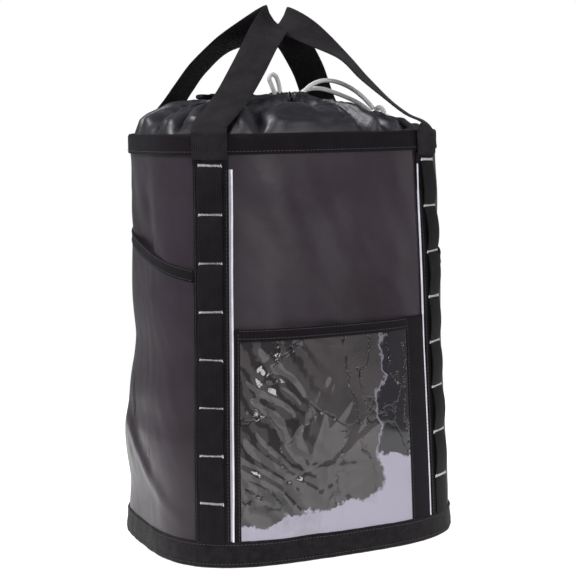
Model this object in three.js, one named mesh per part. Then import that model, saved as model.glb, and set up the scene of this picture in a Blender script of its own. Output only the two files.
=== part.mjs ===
import * as THREE from 'three';

// Rope storage bag. Millimetres, +Z up, front towards -Y, left towards -X.
// The origin is the centre of the underside.
//
// Every sewn layer is placed on the wall of the bag: a rounded section that tapers from the base to
// the rim. A place on the wall is an angle round the section, a height, and a distance outward.

// ---- driving dimensions ----

const RIM_HEIGHT = 455;
const RIM = { halfX: 167, halfY: 129.5, power: 2.88 };
const BASE = { halfX: 176, halfY: 137, power: 3.26 };
const LAYER_GAP = 0.3;

const SEWN_LIFT = 1;
const FABRIC = 1.5;
const PANEL_BOTTOM = 3.4;
const PANEL_TOP = 440;
const SEAM_HALF_GAP = 0.2;
const FRONT_COLUMNS = 12;
const SIDE_COLUMNS = 10;
const PANEL_ROWS = 5;

const BASE_BAND_HEIGHT = 28;
const BASE_BAND_THICK = 2;
const BASE_PANEL_THICK = 3;
const BOARD_BOTTOM = 3.4;
const BOARD_THICK = 2.6;
const BOARD_INSET = 2;

const RIM_BAND_BOTTOM = 434;
const RIM_BAND_CAP = 1.6;
const HOOP_CLEARANCE = 0.4;

const FRONT_CORNER_TURN = 44.1;
const BACK_CORNER_TURN = 38.5;
const WEBBING_WIDTH = 38;
const WEBBING_THICK = 1.5;
const WEBBING_BOTTOM = BASE_BAND_HEIGHT + 0.6;
const WEBBING_OVER_RIM = 2.2;
const WEBBING_TOP = RIM_HEIGHT + 0.4;
const WEBBING_FLAT_TO = RIM_BAND_BOTTOM - 12;
const WEBBING_CLIMBED_AT = RIM_BAND_BOTTOM - 4;

const LOOP_WIDTH = 25;
const LOOP_THICK = 1.2;
const LOOP_COUNT = 7;
const LOOP_PITCH = 50.5;
const LOOP_TOP = 426;
const FIRST_TACK = 423;
const LOOP_BULGE = 2.6;
const LOOP_CLIMB = 2;
const STEPS_PER_LOOP = 3;

const PIPING_WIDTH = 4;
const PIPING_HEIGHT = 2.4;
const PIPING_TOP = RIM_BAND_BOTTOM - 0.6;

const WINDOW_TOP = 241;
const WINDOW_THICK = 0.8;
const WINDOW_BULGE = 7;
const WINDOW_FULL_AT = 100;
const WINDOW_LEFT_BINDING = 6.5;
const WINDOW_RIGHT_BINDING = 30;
const WINDOW_TOP_BINDING = 12;
const WINDOW_COLUMNS = 10;

const POCKET_FRONT_TOP = 303;
const POCKET_REAR_TOP = 345;
const POCKET_BULGE = 6.6;
const POCKET_FULL_AT = 80;
const POCKET_THICK = 1.2;
const POCKET_BINDING = 12;
const POCKET_COLUMNS = 12;

const HOOD_THICK = 1.5;
const HOOD_BOTTOM = 448;
const HOOD_RISE = 38;
const HOOD_SIDE_SAG = 16;
const HOOD_INSET = 3.9;
const HOOD_EDGE_DROP = 2;
const THROAT_X = 8;
const THROAT_RADIUS = 24.4;
const HEM_TOP = 499;
const HEM_HEIGHT = 10;
const HEM_OUTER = 24;
const HEM_INNER = 13;
const HEM_WALL = 1.5;

const CORD_DIAMETER = 5;
const KNOT_RADIUS = 7.5;

const HANDLE_THICK = 2.4;
const HANDLE_STEPS = 44;

const COLOURS = {
  fabric: 0x47434a,
  webbing: 0x2c2a2d,
  binding: 0x242225,
  hood: 0x3c3c48,
  base: 0x2f2b30,
  clear: 0xa8a6ae,
  reflective: 0xdedbe2,
  cord: 0xd9d7d4,
  stiffener: 0x1c1c1e,
};

// ---- the wall ----

const DEGREE = Math.PI / 180;
const CORNERS = {
  front_left: (-90 - FRONT_CORNER_TURN) * DEGREE,
  front_right: (-90 + FRONT_CORNER_TURN) * DEGREE,
  back_right: (90 - BACK_CORNER_TURN) * DEGREE,
  back_left: (90 + BACK_CORNER_TURN) * DEGREE,
};
const WALK_STEP = 0.5 * DEGREE;

const mix = (from, to, share) => from + (to - from) * share;

function wall(angle, height, outward = 0) {
  const share = height / RIM_HEIGHT;
  const halfX = mix(BASE.halfX, RIM.halfX, share);
  const halfY = mix(BASE.halfY, RIM.halfY, share);
  const power = mix(BASE.power, RIM.power, share);
  const across = Math.cos(angle);
  const along = Math.sin(angle);
  const reach = (Math.abs(across) ** power + Math.abs(along) ** power) ** (-1 / power);
  const point = new THREE.Vector3(halfX * across * reach, halfY * along * reach, height);
  const normal = new THREE.Vector3(
    (Math.sign(across) * Math.abs(across * reach) ** (power - 1)) / halfX,
    (Math.sign(along) * Math.abs(along * reach) ** (power - 1)) / halfY,
    0,
  ).normalize();
  return point.addScaledVector(normal, outward);
}

// The angle reached by walking a distance round the section from a starting angle.
function walk(start, distance, height) {
  const step = Math.sign(distance) * WALK_STEP;
  let angle = start;
  let left = Math.abs(distance);
  let here = wall(angle, height);
  while (left > 0) {
    const next = wall(angle + step, height);
    const chord = here.distanceTo(next);
    if (chord >= left) return angle + (step * left) / chord;
    left -= chord;
    angle += step;
    here = next;
  }
  return angle;
}

// ---- solids ----

function solid(vertices, triangles) {
  const numbers = vertices.flatMap((vertex) => vertex.toArray());
  const geometry = new THREE.BufferGeometry();
  geometry.setAttribute('position', new THREE.Float32BufferAttribute(numbers, 3));
  geometry.setIndex(triangles);
  return geometry;
}

// A solid through a row of loops of equal length, each loop turning anticlockwise about the way ahead.
// It is closed on itself like a ring, or capped at both ends.
function loft(loops, isRing = false) {
  const size = loops[0].length;
  const triangles = [];
  const joints = isRing ? loops.length : loops.length - 1;
  for (let row = 0; row < joints; row += 1) {
    const here = row * size;
    const ahead = ((row + 1) % loops.length) * size;
    for (let i = 0; i < size; i += 1) {
      const j = (i + 1) % size;
      triangles.push(here + i, here + j, ahead + j, here + i, ahead + j, ahead + i);
    }
  }
  if (!isRing) {
    const last = (loops.length - 1) * size;
    for (let i = 1; i < size - 1; i += 1) {
      triangles.push(0, i + 1, i, last, last + i, last + i + 1);
    }
  }
  return solid(loops.flat(), triangles);
}

// A layer on the wall between two sides and two edges. The sides are angles as functions of the
// height, the edges are heights as functions of the share across, and lift is the distance of the
// inner face from the wall.
function layer({ from, to, columns, bottom, top, rows, lift, thick, rowShare = (v) => v }) {
  const loops = [];
  for (let row = 0; row <= rows; row += 1) {
    const inner = [];
    const outer = [];
    for (let column = 0; column <= columns; column += 1) {
      const u = column / columns;
      const height = mix(bottom(u), top(u), rowShare(row / rows));
      const angle = mix(from(height), to(height), u);
      inner.push(wall(angle, height, lift(u, height)));
      outer.push(wall(angle, height, lift(u, height) + thick));
    }
    loops.push([...outer, ...inner.reverse()]);
  }
  return cappedStrip(loops, columns);
}

// A loft through thin curved loops, whose end caps are strips of quads.
function cappedStrip(loops, columns) {
  const size = loops[0].length;
  const geometry = loft(loops);
  const index = Array.from(geometry.index.array);
  const sides = index.slice(0, (loops.length - 1) * size * 6);
  const last = (loops.length - 1) * size;
  for (let i = 0; i < columns; i += 1) {
    const j = i + 1;
    const facingI = size - 1 - i;
    const facingJ = size - 1 - j;
    sides.push(i, facingI, facingJ, i, facingJ, j);
    sides.push(last + i, last + j, last + facingJ, last + i, last + facingJ, last + facingI);
  }
  geometry.setIndex(sides);
  return geometry;
}

const beside = (corner, distance) => (height) => walk(CORNERS[corner], distance, height);
const level = (height) => () => height;

// ---- the assembly ----

const bag = new THREE.Group();

function add(name, geometry, colour, roughness) {
  const material = new THREE.MeshStandardMaterial({ color: colour, roughness, metalness: 0 });
  const mesh = new THREE.Mesh(geometry, material);
  mesh.name = name;
  bag.add(mesh);
  return mesh;
}

// The angles where every ring piece has its facets, which are also the panels' columns.
const SIDES = [
  { name: 'front_panel', start: CORNERS.front_left, end: CORNERS.front_right, columns: FRONT_COLUMNS },
  { name: 'right_panel', start: CORNERS.front_right, end: CORNERS.back_right, columns: SIDE_COLUMNS },
  { name: 'back_panel', start: CORNERS.back_right, end: CORNERS.back_left, columns: FRONT_COLUMNS },
  {
    name: 'left_panel',
    start: CORNERS.back_left,
    end: CORNERS.front_left + 2 * Math.PI,
    columns: SIDE_COLUMNS,
  },
];
const FACETS = SIDES.flatMap(({ start, end, columns }) =>
  Array.from({ length: columns }, (_, i) => mix(start, end, i / columns)),
);

function addPanels() {
  for (const { name, start, end, columns } of SIDES) {
    const panel = layer({
      from: (height) => walk(start, SEAM_HALF_GAP, height),
      to: (height) => walk(end, -SEAM_HALF_GAP, height),
      columns,
      bottom: level(PANEL_BOTTOM),
      top: level(PANEL_TOP),
      rows: PANEL_ROWS,
      lift: () => -FABRIC,
      thick: FABRIC,
    });
    add(name, panel, COLOURS.fabric, 0.55);
  }
}

// A ring round the bag with one closed profile of [outward, height] pairs, turning clockwise when
// seen with outward to the right and height up.
function hoop(profile) {
  return loft(
    FACETS.map((angle) => profile.map(([outward, height]) => wall(angle, height, outward))),
    true,
  );
}

function slab(bottom, top, inset) {
  const loops = [bottom, top].map((height) =>
    FACETS.map((angle) => {
      const edge = wall(angle, 0, -inset);
      return new THREE.Vector3(edge.x, edge.y, height);
    }),
  );
  return loft(loops);
}

function addBase() {
  add('base_panel', slab(0, BASE_PANEL_THICK, LAYER_GAP), COLOURS.base, 0.8);
  const board = slab(BOARD_BOTTOM, BOARD_BOTTOM + BOARD_THICK, BOARD_INSET);
  add('base_board', board, COLOURS.stiffener, 0.6);
  const outer = LAYER_GAP + BASE_BAND_THICK;
  const band = hoop([
    [LAYER_GAP, 0],
    [LAYER_GAP, BASE_BAND_HEIGHT],
    [outer, BASE_BAND_HEIGHT],
    [outer, 0],
  ]);
  add('base_band', band, COLOURS.base, 0.85);
}

// The binding folds over the top of the panels, and a stiffening hoop lies in the fold above them.
function addRim() {
  const skin = LAYER_GAP + FABRIC;
  const inside = -FABRIC - LAYER_GAP;
  const underCap = RIM_HEIGHT - RIM_BAND_CAP;
  const band = hoop([
    [inside - FABRIC, RIM_BAND_BOTTOM],
    [inside - FABRIC, RIM_HEIGHT],
    [skin, RIM_HEIGHT],
    [skin, RIM_BAND_BOTTOM],
    [LAYER_GAP, RIM_BAND_BOTTOM],
    [LAYER_GAP, underCap],
    [inside, underCap],
    [inside, RIM_BAND_BOTTOM],
  ]);
  add('rim_band', band, COLOURS.binding, 0.75);
  const stiffener = hoop([
    [-FABRIC, PANEL_TOP + HOOP_CLEARANCE],
    [-FABRIC, underCap - HOOP_CLEARANCE],
    [0, underCap - HOOP_CLEARANCE],
    [0, PANEL_TOP + HOOP_CLEARANCE],
  ]);
  add('rim_hoop', stiffener, COLOURS.stiffener, 0.5);
}

// 0 on the panels, 1 where a layer has climbed over the rim band.
function overRim(height) {
  const share = (height - WEBBING_FLAT_TO) / (WEBBING_CLIMBED_AT - WEBBING_FLAT_TO);
  return THREE.MathUtils.clamp(share, 0, 1);
}

// Each corner has a wide webbing that runs from the base band up over the rim band, a narrower
// webbing tacked to it in a row of loops, and a reflective piping on the front or back panel's side.
function addCorner(corner) {
  const half = WEBBING_WIDTH / 2;
  const webbingLift = (u, height) => mix(LAYER_GAP, WEBBING_OVER_RIM, overRim(height));
  const rowHeights = [0, 0.25, 0.5, 0.75, 1].map((share) => mix(WEBBING_BOTTOM, WEBBING_FLAT_TO, share));
  rowHeights.push(WEBBING_CLIMBED_AT, WEBBING_TOP);
  const webbing = layer({
    from: beside(corner, -half),
    to: beside(corner, half),
    columns: 6,
    bottom: level(0),
    top: level(1),
    rows: rowHeights.length - 1,
    rowShare: (v) => rowHeights[Math.round(v * (rowHeights.length - 1))],
    lift: webbingLift,
    thick: WEBBING_THICK,
  });
  add(`corner_webbing_${corner}`, webbing, COLOURS.webbing, 0.8);

  const lastTack = FIRST_TACK - LOOP_COUNT * LOOP_PITCH;
  const tackSteps = LOOP_COUNT * STEPS_PER_LOOP;
  const loopHeights = [WEBBING_BOTTOM];
  for (let step = 0; step <= tackSteps; step += 1) {
    loopHeights.push(lastTack + (step * LOOP_PITCH) / STEPS_PER_LOOP);
  }
  loopHeights.push(LOOP_TOP);
  const loopLift = (u, height) => {
    const along = (height - lastTack) / LOOP_PITCH;
    const isLoop = along > 0 && along < LOOP_COUNT;
    const bulge = isLoop ? LOOP_BULGE * Math.abs(Math.sin(along * Math.PI)) : 0;
    return LAYER_GAP * 2 + WEBBING_THICK + bulge + LOOP_CLIMB * overRim(height);
  };
  const loops = layer({
    from: beside(corner, -LOOP_WIDTH / 2),
    to: beside(corner, LOOP_WIDTH / 2),
    columns: 3,
    bottom: level(0),
    top: level(1),
    rows: loopHeights.length - 1,
    rowShare: (v) => loopHeights[Math.round(v * (loopHeights.length - 1))],
    lift: loopLift,
    thick: LOOP_THICK,
  });
  add(`chain_loops_${corner}`, loops, COLOURS.webbing, 0.75);

  const side = corner === 'front_left' || corner === 'back_right' ? 1 : -1;
  const near = side * (half + LAYER_GAP);
  const far = side * (half + LAYER_GAP + PIPING_WIDTH);
  const piping = layer({
    from: beside(corner, Math.min(near, far)),
    to: beside(corner, Math.max(near, far)),
    columns: 1,
    bottom: level(WEBBING_BOTTOM),
    top: level(PIPING_TOP),
    rows: 8,
    lift: () => LAYER_GAP,
    thick: PIPING_HEIGHT,
  });
  add(`piping_${corner}`, piping, COLOURS.reflective, 0.4);
}

const FRAME_EDGE = WEBBING_WIDTH / 2 + 2 * LAYER_GAP + PIPING_WIDTH;

// The clear pocket stands away from the front panel, most at half its height, and its top is open.
function windowLift(u, height) {
  const across = Math.sin(Math.PI * u) ** 0.4;
  const up = THREE.MathUtils.clamp((height - WEBBING_BOTTOM) / WINDOW_FULL_AT, 0, 1);
  return SEWN_LIFT + WINDOW_BULGE * across * Math.sin((up * Math.PI) / 2);
}

function addWindow() {
  const left = FRAME_EDGE + WINDOW_LEFT_BINDING + LAYER_GAP;
  const right = -(FRAME_EDGE + WINDOW_RIGHT_BINDING + LAYER_GAP);
  const frame = { bottom: level(WEBBING_BOTTOM), lift: () => LAYER_GAP, rows: 6, columns: 2 };
  const sheet = layer({
    from: beside('front_left', left),
    to: beside('front_right', right),
    columns: WINDOW_COLUMNS,
    bottom: level(WEBBING_BOTTOM),
    top: level(WINDOW_TOP),
    rows: 7,
    lift: windowLift,
    thick: WINDOW_THICK,
  });
  add('window_sheet', sheet, COLOURS.clear, 0.15);

  const topBinding = layer({
    from: beside('front_left', left),
    to: beside('front_right', right),
    columns: WINDOW_COLUMNS,
    bottom: level(WINDOW_TOP + LAYER_GAP),
    top: level(WINDOW_TOP + LAYER_GAP + WINDOW_TOP_BINDING),
    rows: 1,
    lift: windowLift,
    thick: FABRIC,
  });
  add('window_top_binding', topBinding, COLOURS.binding, 0.75);

  const bindingTop = level(WINDOW_TOP + LAYER_GAP + WINDOW_TOP_BINDING);
  const leftBinding = layer({
    ...frame,
    from: beside('front_left', FRAME_EDGE),
    to: beside('front_left', FRAME_EDGE + WINDOW_LEFT_BINDING),
    columns: 1,
    top: bindingTop,
    thick: FABRIC,
  });
  add('window_left_binding', leftBinding, COLOURS.binding, 0.75);

  const rightBinding = layer({
    ...frame,
    from: beside('front_right', -(FRAME_EDGE + WINDOW_RIGHT_BINDING)),
    to: beside('front_right', -FRAME_EDGE),
    top: bindingTop,
    thick: FABRIC,
  });
  add('window_right_binding', rightBinding, COLOURS.binding, 0.75);
}

// A pocket on each side, with a mouth that falls towards the front.
function addPocket(side, front, back) {
  const isLeft = side === 'left';
  const edge = WEBBING_WIDTH / 2 + LAYER_GAP;
  const frontAngle = (height) => walk(CORNERS[front], isLeft ? -edge : edge, height);
  const backAngle = (height) => walk(CORNERS[back], isLeft ? edge : -edge, height);
  const from = isLeft ? backAngle : frontAngle;
  const to = isLeft ? (height) => frontAngle(height) + 2 * Math.PI : backAngle;
  const mouth = (u) => {
    const rearward = isLeft ? 1 - u : u;
    return mix(POCKET_FRONT_TOP, POCKET_REAR_TOP, rearward);
  };
  const lift = (u, height) => {
    const across = Math.sin(Math.PI * u) ** 0.5;
    const up = THREE.MathUtils.clamp((height - WEBBING_BOTTOM) / POCKET_FULL_AT, 0, 1);
    return SEWN_LIFT + POCKET_BULGE * across * Math.sin((up * Math.PI) / 2);
  };
  const pocket = layer({
    from,
    to,
    columns: POCKET_COLUMNS,
    bottom: level(WEBBING_BOTTOM),
    top: mouth,
    rows: 7,
    lift,
    thick: POCKET_THICK,
  });
  add(`${side}_pocket`, pocket, COLOURS.fabric, 0.55);
  const binding = layer({
    from,
    to,
    columns: POCKET_COLUMNS,
    bottom: (u) => mouth(u) + LAYER_GAP,
    top: (u) => mouth(u) + LAYER_GAP + POCKET_BINDING,
    rows: 1,
    lift,
    thick: FABRIC,
  });
  add(`${side}_pocket_binding`, binding, COLOURS.binding, 0.75);
}

// ---- the hood ----

// The height of the hood's outer face, by the share of the way in from the rim to the throat.
// The right side lies lower than the left.
function hoodHeight(inward, angle) {
  const dome = (1 - (1 - inward) ** 2.5) ** 0.8;
  const rightSide = Math.max(0, Math.cos(angle));
  const sag = HOOD_SIDE_SAG * rightSide * 4 * inward * (1 - inward);
  return RIM_HEIGHT - HOOD_EDGE_DROP + HOOD_RISE * dome - sag;
}

function hoodPoint(inward, angle, drop) {
  const edge = wall(angle, RIM_HEIGHT, -HOOD_INSET - drop);
  const x = mix(edge.x, THROAT_X + THROAT_RADIUS * Math.cos(angle), inward);
  const y = mix(edge.y, THROAT_RADIUS * Math.sin(angle), inward);
  return new THREE.Vector3(x, y, hoodHeight(inward, angle) - drop);
}

function addHood() {
  const shares = [0, 0.1, 0.26, 0.5, 0.75, 1]; // closest where the dome curves most
  const profile = (angle) => {
    const outside = shares.map((share) => hoodPoint(share, angle, 0));
    const inside = shares.map((share) => hoodPoint(share, angle, HOOD_THICK)).reverse();
    const skirtOut = outside[0].clone().setZ(HOOD_BOTTOM);
    const skirtIn = inside.at(-1).clone().setZ(HOOD_BOTTOM);
    return [skirtIn, skirtOut, ...outside, ...inside].reverse();
  };
  add('hood', loft(FACETS.map(profile), true), COLOURS.hood, 0.5);

  const hemSegments = 28;
  const bottom = HEM_TOP - HEM_HEIGHT;
  const hemProfile = [
    [HEM_INNER, bottom],
    [HEM_INNER + HEM_WALL, bottom],
    [HEM_INNER + HEM_WALL, HEM_TOP - HEM_WALL],
    [HEM_OUTER - HEM_WALL, HEM_TOP - HEM_WALL],
    [HEM_OUTER - HEM_WALL, bottom],
    [HEM_OUTER, bottom],
    [HEM_OUTER, HEM_TOP],
    [HEM_INNER, HEM_TOP],
    [HEM_INNER, bottom],
  ].map(([radius, height]) => new THREE.Vector2(radius, height));
  const hem = new THREE.LatheGeometry(hemProfile, hemSegments).rotateX(Math.PI / 2);
  add('hood_hem', hem.translate(THROAT_X, 0, 0), COLOURS.hood, 0.5);

  const ringRadius = (HEM_INNER + HEM_OUTER) / 2;
  const ring = new THREE.TorusGeometry(ringRadius, CORD_DIAMETER / 2, 8, hemSegments);
  add('drawcord_in_hem', ring.translate(THROAT_X, 0, HEM_TOP - HEM_HEIGHT / 2), COLOURS.cord, 0.7);
}

// A folded tape sewn to the left of the hood, turned about its sewn end.
const TAB = { length: 44, width: 20, thick: 5, root: [-62, -28, 493.4], tilt: 3 };

function addPullTab() {
  const { length, width, thick, root, tilt } = TAB;
  const outline = new THREE.Shape();
  outline.moveTo(0, 0);
  outline.lineTo(-length + thick / 2, 0);
  outline.absarc(-length + thick / 2, thick / 2, thick / 2, -Math.PI / 2, -1.5 * Math.PI, true);
  outline.lineTo(0, thick);
  outline.closePath();
  const tab = new THREE.ExtrudeGeometry(outline, {
    depth: width,
    bevelEnabled: false,
    curveSegments: 4,
  });
  tab.translate(0, 0, -width / 2).rotateX(Math.PI / 2);
  const mesh = add('hood_pull_tab', tab, COLOURS.webbing, 0.8);
  mesh.position.set(...root);
  mesh.rotation.y = tilt * DEGREE;
}

// ---- the drawcord ----

const UPPER_STRAND = [
  [24, -12, 502.4],
  [33, -14, 508],
  [44, -16, 511.5],
  [57, -18, 510.8],
  [70, -19, 506.6],
  [83, -20, 499.6],
  [95, -21, 490.6],
  [105.5, -21, 481.2],
];
const LOWER_STRAND = [
  [26, -4, 502.4],
  [36, -6, 503.6],
  [48, -9, 502],
  [61, -12, 498],
  [74, -15, 492.8],
  [87, -17.5, 486.6],
  [98, -19, 480.4],
  [104, -20, 475.6],
];
const BIGHT = [
  [-13.6, -9, 502.4],
  [-17.4, -9.6, 509],
  [-19.4, -10, 514.6],
  [-16.6, -10.4, 519],
  [-11.4, -10.4, 516.6],
  [-8.4, -10, 510],
  [-6.2, -9.4, 502.4],
];
const KNOT_CENTRE = [112.6, -22, 475.9];

function cord(points, steps) {
  const path = new THREE.CatmullRomCurve3(points.map((point) => new THREE.Vector3(...point)));
  const section = new THREE.Shape();
  section.absarc(0, 0, CORD_DIAMETER / 2, 0, 2 * Math.PI);
  return new THREE.ExtrudeGeometry(section, { extrudePath: path, steps, curveSegments: 8 });
}

function addDrawcord() {
  add('drawcord_strand_upper', cord(UPPER_STRAND, 12), COLOURS.cord, 0.7);
  add('drawcord_strand_lower', cord(LOWER_STRAND, 11), COLOURS.cord, 0.7);
  add('drawcord_loop', cord(BIGHT, 12), COLOURS.cord, 0.7);
  const knot = new THREE.SphereGeometry(KNOT_RADIUS, 10, 8);
  add('drawcord_knot', knot.translate(...KNOT_CENTRE), COLOURS.cord, 0.7);
}

// ---- the handles ----

// The middle line of each handle from its front foot over the fold at the top to its back foot,
// written for the left side. The right handle is mirrored.
const LEFT_HANDLE = [
  [-131.2, -105.4, 457.2],
  [-128, -101, 465],
  [-114, -95, 477],
  [-94, -85, 496],
  [-69, -66, 523],
  [-43, -42, 551],
  [-21, -12, 570],
  [-10.5, 4, 577.5],
  [-24, 30, 568],
  [-47, 60, 553],
  [-68, 80, 529.5],
  [-82, 90, 508],
  [-95, 98, 487],
  [-111, 106, 466],
  [-116.4, 114.6, 457.2],
];
const RIGHT_HANDLE = [
  [-131.2, -105.4, 457.2],
  [-127.5, -101.5, 464],
  [-108, -97, 473],
  [-89, -87.5, 488],
  [-71, -69, 511],
  [-55, -44, 537],
  [-30, -8, 564],
  [-9.5, 24, 578.1],
  [-25, 38, 569],
  [-42, 51, 554],
  [-69, 75, 528],
  [-84, 88, 506],
  [-98, 98, 484],
  [-111, 106, 466],
  [-116.4, 114.6, 457.2],
];

// The direction across the webbing at some shares of the middle line, written for the left side.
const FRONT_FOOT_AXIS = [0.807, -0.59, 0];
const REAR_FOOT_AXIS = [0.893, 0.45, 0];
const APEX_AXIS = [0.42, 0, -0.9];
const LEFT_AXES = [
  [0, FRONT_FOOT_AXIS],
  [0.1, FRONT_FOOT_AXIS],
  [0.36, [0.72, -0.6, -0.34]],
  [0.5, APEX_AXIS],
  [0.66, [0.68, 0.66, -0.32]],
  [0.93, REAR_FOOT_AXIS],
  [1, REAR_FOOT_AXIS],
];
const RIGHT_AXES = [
  [0, FRONT_FOOT_AXIS],
  [0.07, FRONT_FOOT_AXIS],
  [0.2, [0.6, -0.8, 0.05]],
  [0.33, [0.62, -0.78, -0.08]],
  [0.5, APEX_AXIS],
  [0.66, [0.72, 0.6, -0.34]],
  [0.93, REAR_FOOT_AXIS],
  [1, REAR_FOOT_AXIS],
];

function widthAxis(axes, share) {
  const next = Math.max(1, axes.findIndex(([at]) => at >= share));
  const [start, from] = axes[next - 1];
  const [end, to] = axes[next];
  const part = THREE.MathUtils.smoothstep(share, start, end);
  return new THREE.Vector3(...from).lerp(new THREE.Vector3(...to), part).normalize();
}

function handle(points, axes, side) {
  const path = new THREE.CatmullRomCurve3(points.map((point) => new THREE.Vector3(...point)));
  const loops = [];
  for (let step = 0; step <= HANDLE_STEPS; step += 1) {
    const share = step / HANDLE_STEPS;
    const centre = path.getPoint(share);
    const ahead = path.getTangent(share);
    const across = widthAxis(axes, share);
    across.addScaledVector(ahead, -across.dot(ahead)).normalize();
    const outward = new THREE.Vector3().crossVectors(across, ahead);
    const halfWidth = across.multiplyScalar(WEBBING_WIDTH / 2);
    const halfThick = outward.multiplyScalar(HANDLE_THICK / 2);
    const corners = [
      centre.clone().add(halfWidth).add(halfThick),
      centre.clone().sub(halfWidth).add(halfThick),
      centre.clone().sub(halfWidth).sub(halfThick),
      centre.clone().add(halfWidth).sub(halfThick),
    ];
    loops.push(side === 'left' ? corners.reverse() : corners.map((c) => c.setX(-c.x)));
  }
  return loft(loops);
}

function addHandles() {
  add('handle_left', handle(LEFT_HANDLE, LEFT_AXES, 'left'), COLOURS.webbing, 0.8);
  add('handle_right', handle(RIGHT_HANDLE, RIGHT_AXES, 'right'), COLOURS.webbing, 0.8);
}

addPanels();
addBase();
addRim();
Object.keys(CORNERS).forEach(addCorner);
addWindow();
addPocket('left', 'front_left', 'back_left');
addPocket('right', 'front_right', 'back_right');
addHood();
addPullTab();
addDrawcord();
addHandles();

export default bag;
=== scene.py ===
"""Rope storage bag: the looks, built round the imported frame. Metres, +Z up, front towards -Y."""

import random
from math import atan2, cos, exp, pi, radians, sin, tau

import bpy
import numpy as np
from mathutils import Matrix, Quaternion, Vector, noise


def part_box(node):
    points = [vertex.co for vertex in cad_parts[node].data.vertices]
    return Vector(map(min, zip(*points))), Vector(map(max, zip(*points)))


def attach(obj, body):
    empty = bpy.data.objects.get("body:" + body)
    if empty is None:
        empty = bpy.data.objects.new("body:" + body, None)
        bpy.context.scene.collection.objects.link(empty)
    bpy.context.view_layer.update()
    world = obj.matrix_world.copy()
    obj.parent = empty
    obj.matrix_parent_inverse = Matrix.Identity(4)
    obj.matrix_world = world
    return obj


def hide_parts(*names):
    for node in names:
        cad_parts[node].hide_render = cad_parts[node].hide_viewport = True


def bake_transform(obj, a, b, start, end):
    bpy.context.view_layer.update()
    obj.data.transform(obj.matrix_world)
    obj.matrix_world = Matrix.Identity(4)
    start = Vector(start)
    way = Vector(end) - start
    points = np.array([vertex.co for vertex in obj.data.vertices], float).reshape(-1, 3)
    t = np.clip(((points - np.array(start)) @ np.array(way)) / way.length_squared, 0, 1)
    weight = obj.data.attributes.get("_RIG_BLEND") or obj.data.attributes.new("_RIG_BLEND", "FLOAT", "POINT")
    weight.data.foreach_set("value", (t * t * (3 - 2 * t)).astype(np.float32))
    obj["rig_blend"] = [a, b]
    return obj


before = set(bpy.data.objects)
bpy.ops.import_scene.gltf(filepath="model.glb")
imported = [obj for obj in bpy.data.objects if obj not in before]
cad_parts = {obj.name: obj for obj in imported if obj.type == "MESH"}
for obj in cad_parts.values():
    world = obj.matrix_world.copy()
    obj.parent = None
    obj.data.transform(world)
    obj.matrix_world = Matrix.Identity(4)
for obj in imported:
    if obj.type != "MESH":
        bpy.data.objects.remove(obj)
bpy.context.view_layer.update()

MM = 0.001
RIM_POWER = 2.88
BASE_POWER = 3.26
FRONT_CORNER_TURN = radians(44.1)
BACK_CORNER_TURN = radians(38.5)
CORNERS = {
    "front_left": -pi / 2 - FRONT_CORNER_TURN,
    "front_right": -pi / 2 + FRONT_CORNER_TURN,
    "back_right": pi / 2 - BACK_CORNER_TURN,
    "back_left": pi / 2 + BACK_CORNER_TURN,
}
WEBBING_WIDTH = 38 * MM
LOOP_WIDTH = 25 * MM
LOOP_COUNT = 7
LOOP_PITCH = 50.5 * MM
FIRST_TACK = 423 * MM
PIPING_WIDTH = 4 * MM
FRAME_EDGE = WEBBING_WIDTH / 2 + 0.6 * MM + PIPING_WIDTH
WINDOW_LEFT_BINDING = 6.5 * MM
WINDOW_RIGHT_BINDING = 30 * MM
BAND_LIFT = 2.3 * MM
WALL_CLOTH = 1.1 * MM
HOOD_CLOTH = 0.7 * MM
FULL_TURN = 2 * pi


# ---- the wall, worked out from the frame ----

def driving_sizes():
    """The wall's half sizes at the base and at the rim, from the base band and the rim hoop."""
    band_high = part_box("base_band")[1]
    hoop_low, hoop_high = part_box("rim_hoop")
    rim_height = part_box("rim_band")[1].z
    base = np.array(band_high.xy) - BAND_LIFT
    rim = base + (np.array(hoop_high.xy) - base) * rim_height / hoop_low.z
    return rim_height, base, rim


RIM_HEIGHT, BASE_HALF, RIM_HALF = driving_sizes()
BAND_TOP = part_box("base_band")[1].z
RIM_BAND_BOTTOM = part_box("rim_band")[0].z


def wall(angle, height, outward=0.0):
    """Points on the wall, at an angle round the section, a height and a distance outward."""
    angle, height, outward = np.broadcast_arrays(
        np.asarray(angle, float), np.asarray(height, float), np.asarray(outward, float)
    )
    share = height / RIM_HEIGHT
    half_x = BASE_HALF[0] + (RIM_HALF[0] - BASE_HALF[0]) * share
    half_y = BASE_HALF[1] + (RIM_HALF[1] - BASE_HALF[1]) * share
    power = BASE_POWER + (RIM_POWER - BASE_POWER) * share
    across, along = np.cos(angle), np.sin(angle)
    reach = (np.abs(across) ** power + np.abs(along) ** power) ** (-1 / power)
    normal_x = np.sign(across) * np.abs(across * reach) ** (power - 1) / half_x
    normal_y = np.sign(along) * np.abs(along * reach) ** (power - 1) / half_y
    length = np.hypot(normal_x, normal_y)
    x = half_x * across * reach + outward * normal_x / length
    y = half_y * along * reach + outward * normal_y / length
    return np.stack([x, y, height], axis=-1)


WALK_ANGLES = np.radians(np.arange(-300, 421, 0.5))
_walks = {}


def walk(start, distances, height):
    """The angles reached by walking distances round the section at one height."""
    key = round(float(height), 3)
    if key not in _walks:
        _walks[key] = travelled(wall(WALK_ANGLES, key))
    lengths = _walks[key]
    return np.interp(np.interp(start, WALK_ANGLES, lengths) + distances, lengths, WALK_ANGLES)


def bump(value, centre, width):
    return np.exp(-(((value - centre) / width) ** 2))


def clip01(value):
    return min(max(value, 0.0), 1.0)


def smooth_noise(x, y, seed):
    return noise.noise(Vector((x, y, seed)))


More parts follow.
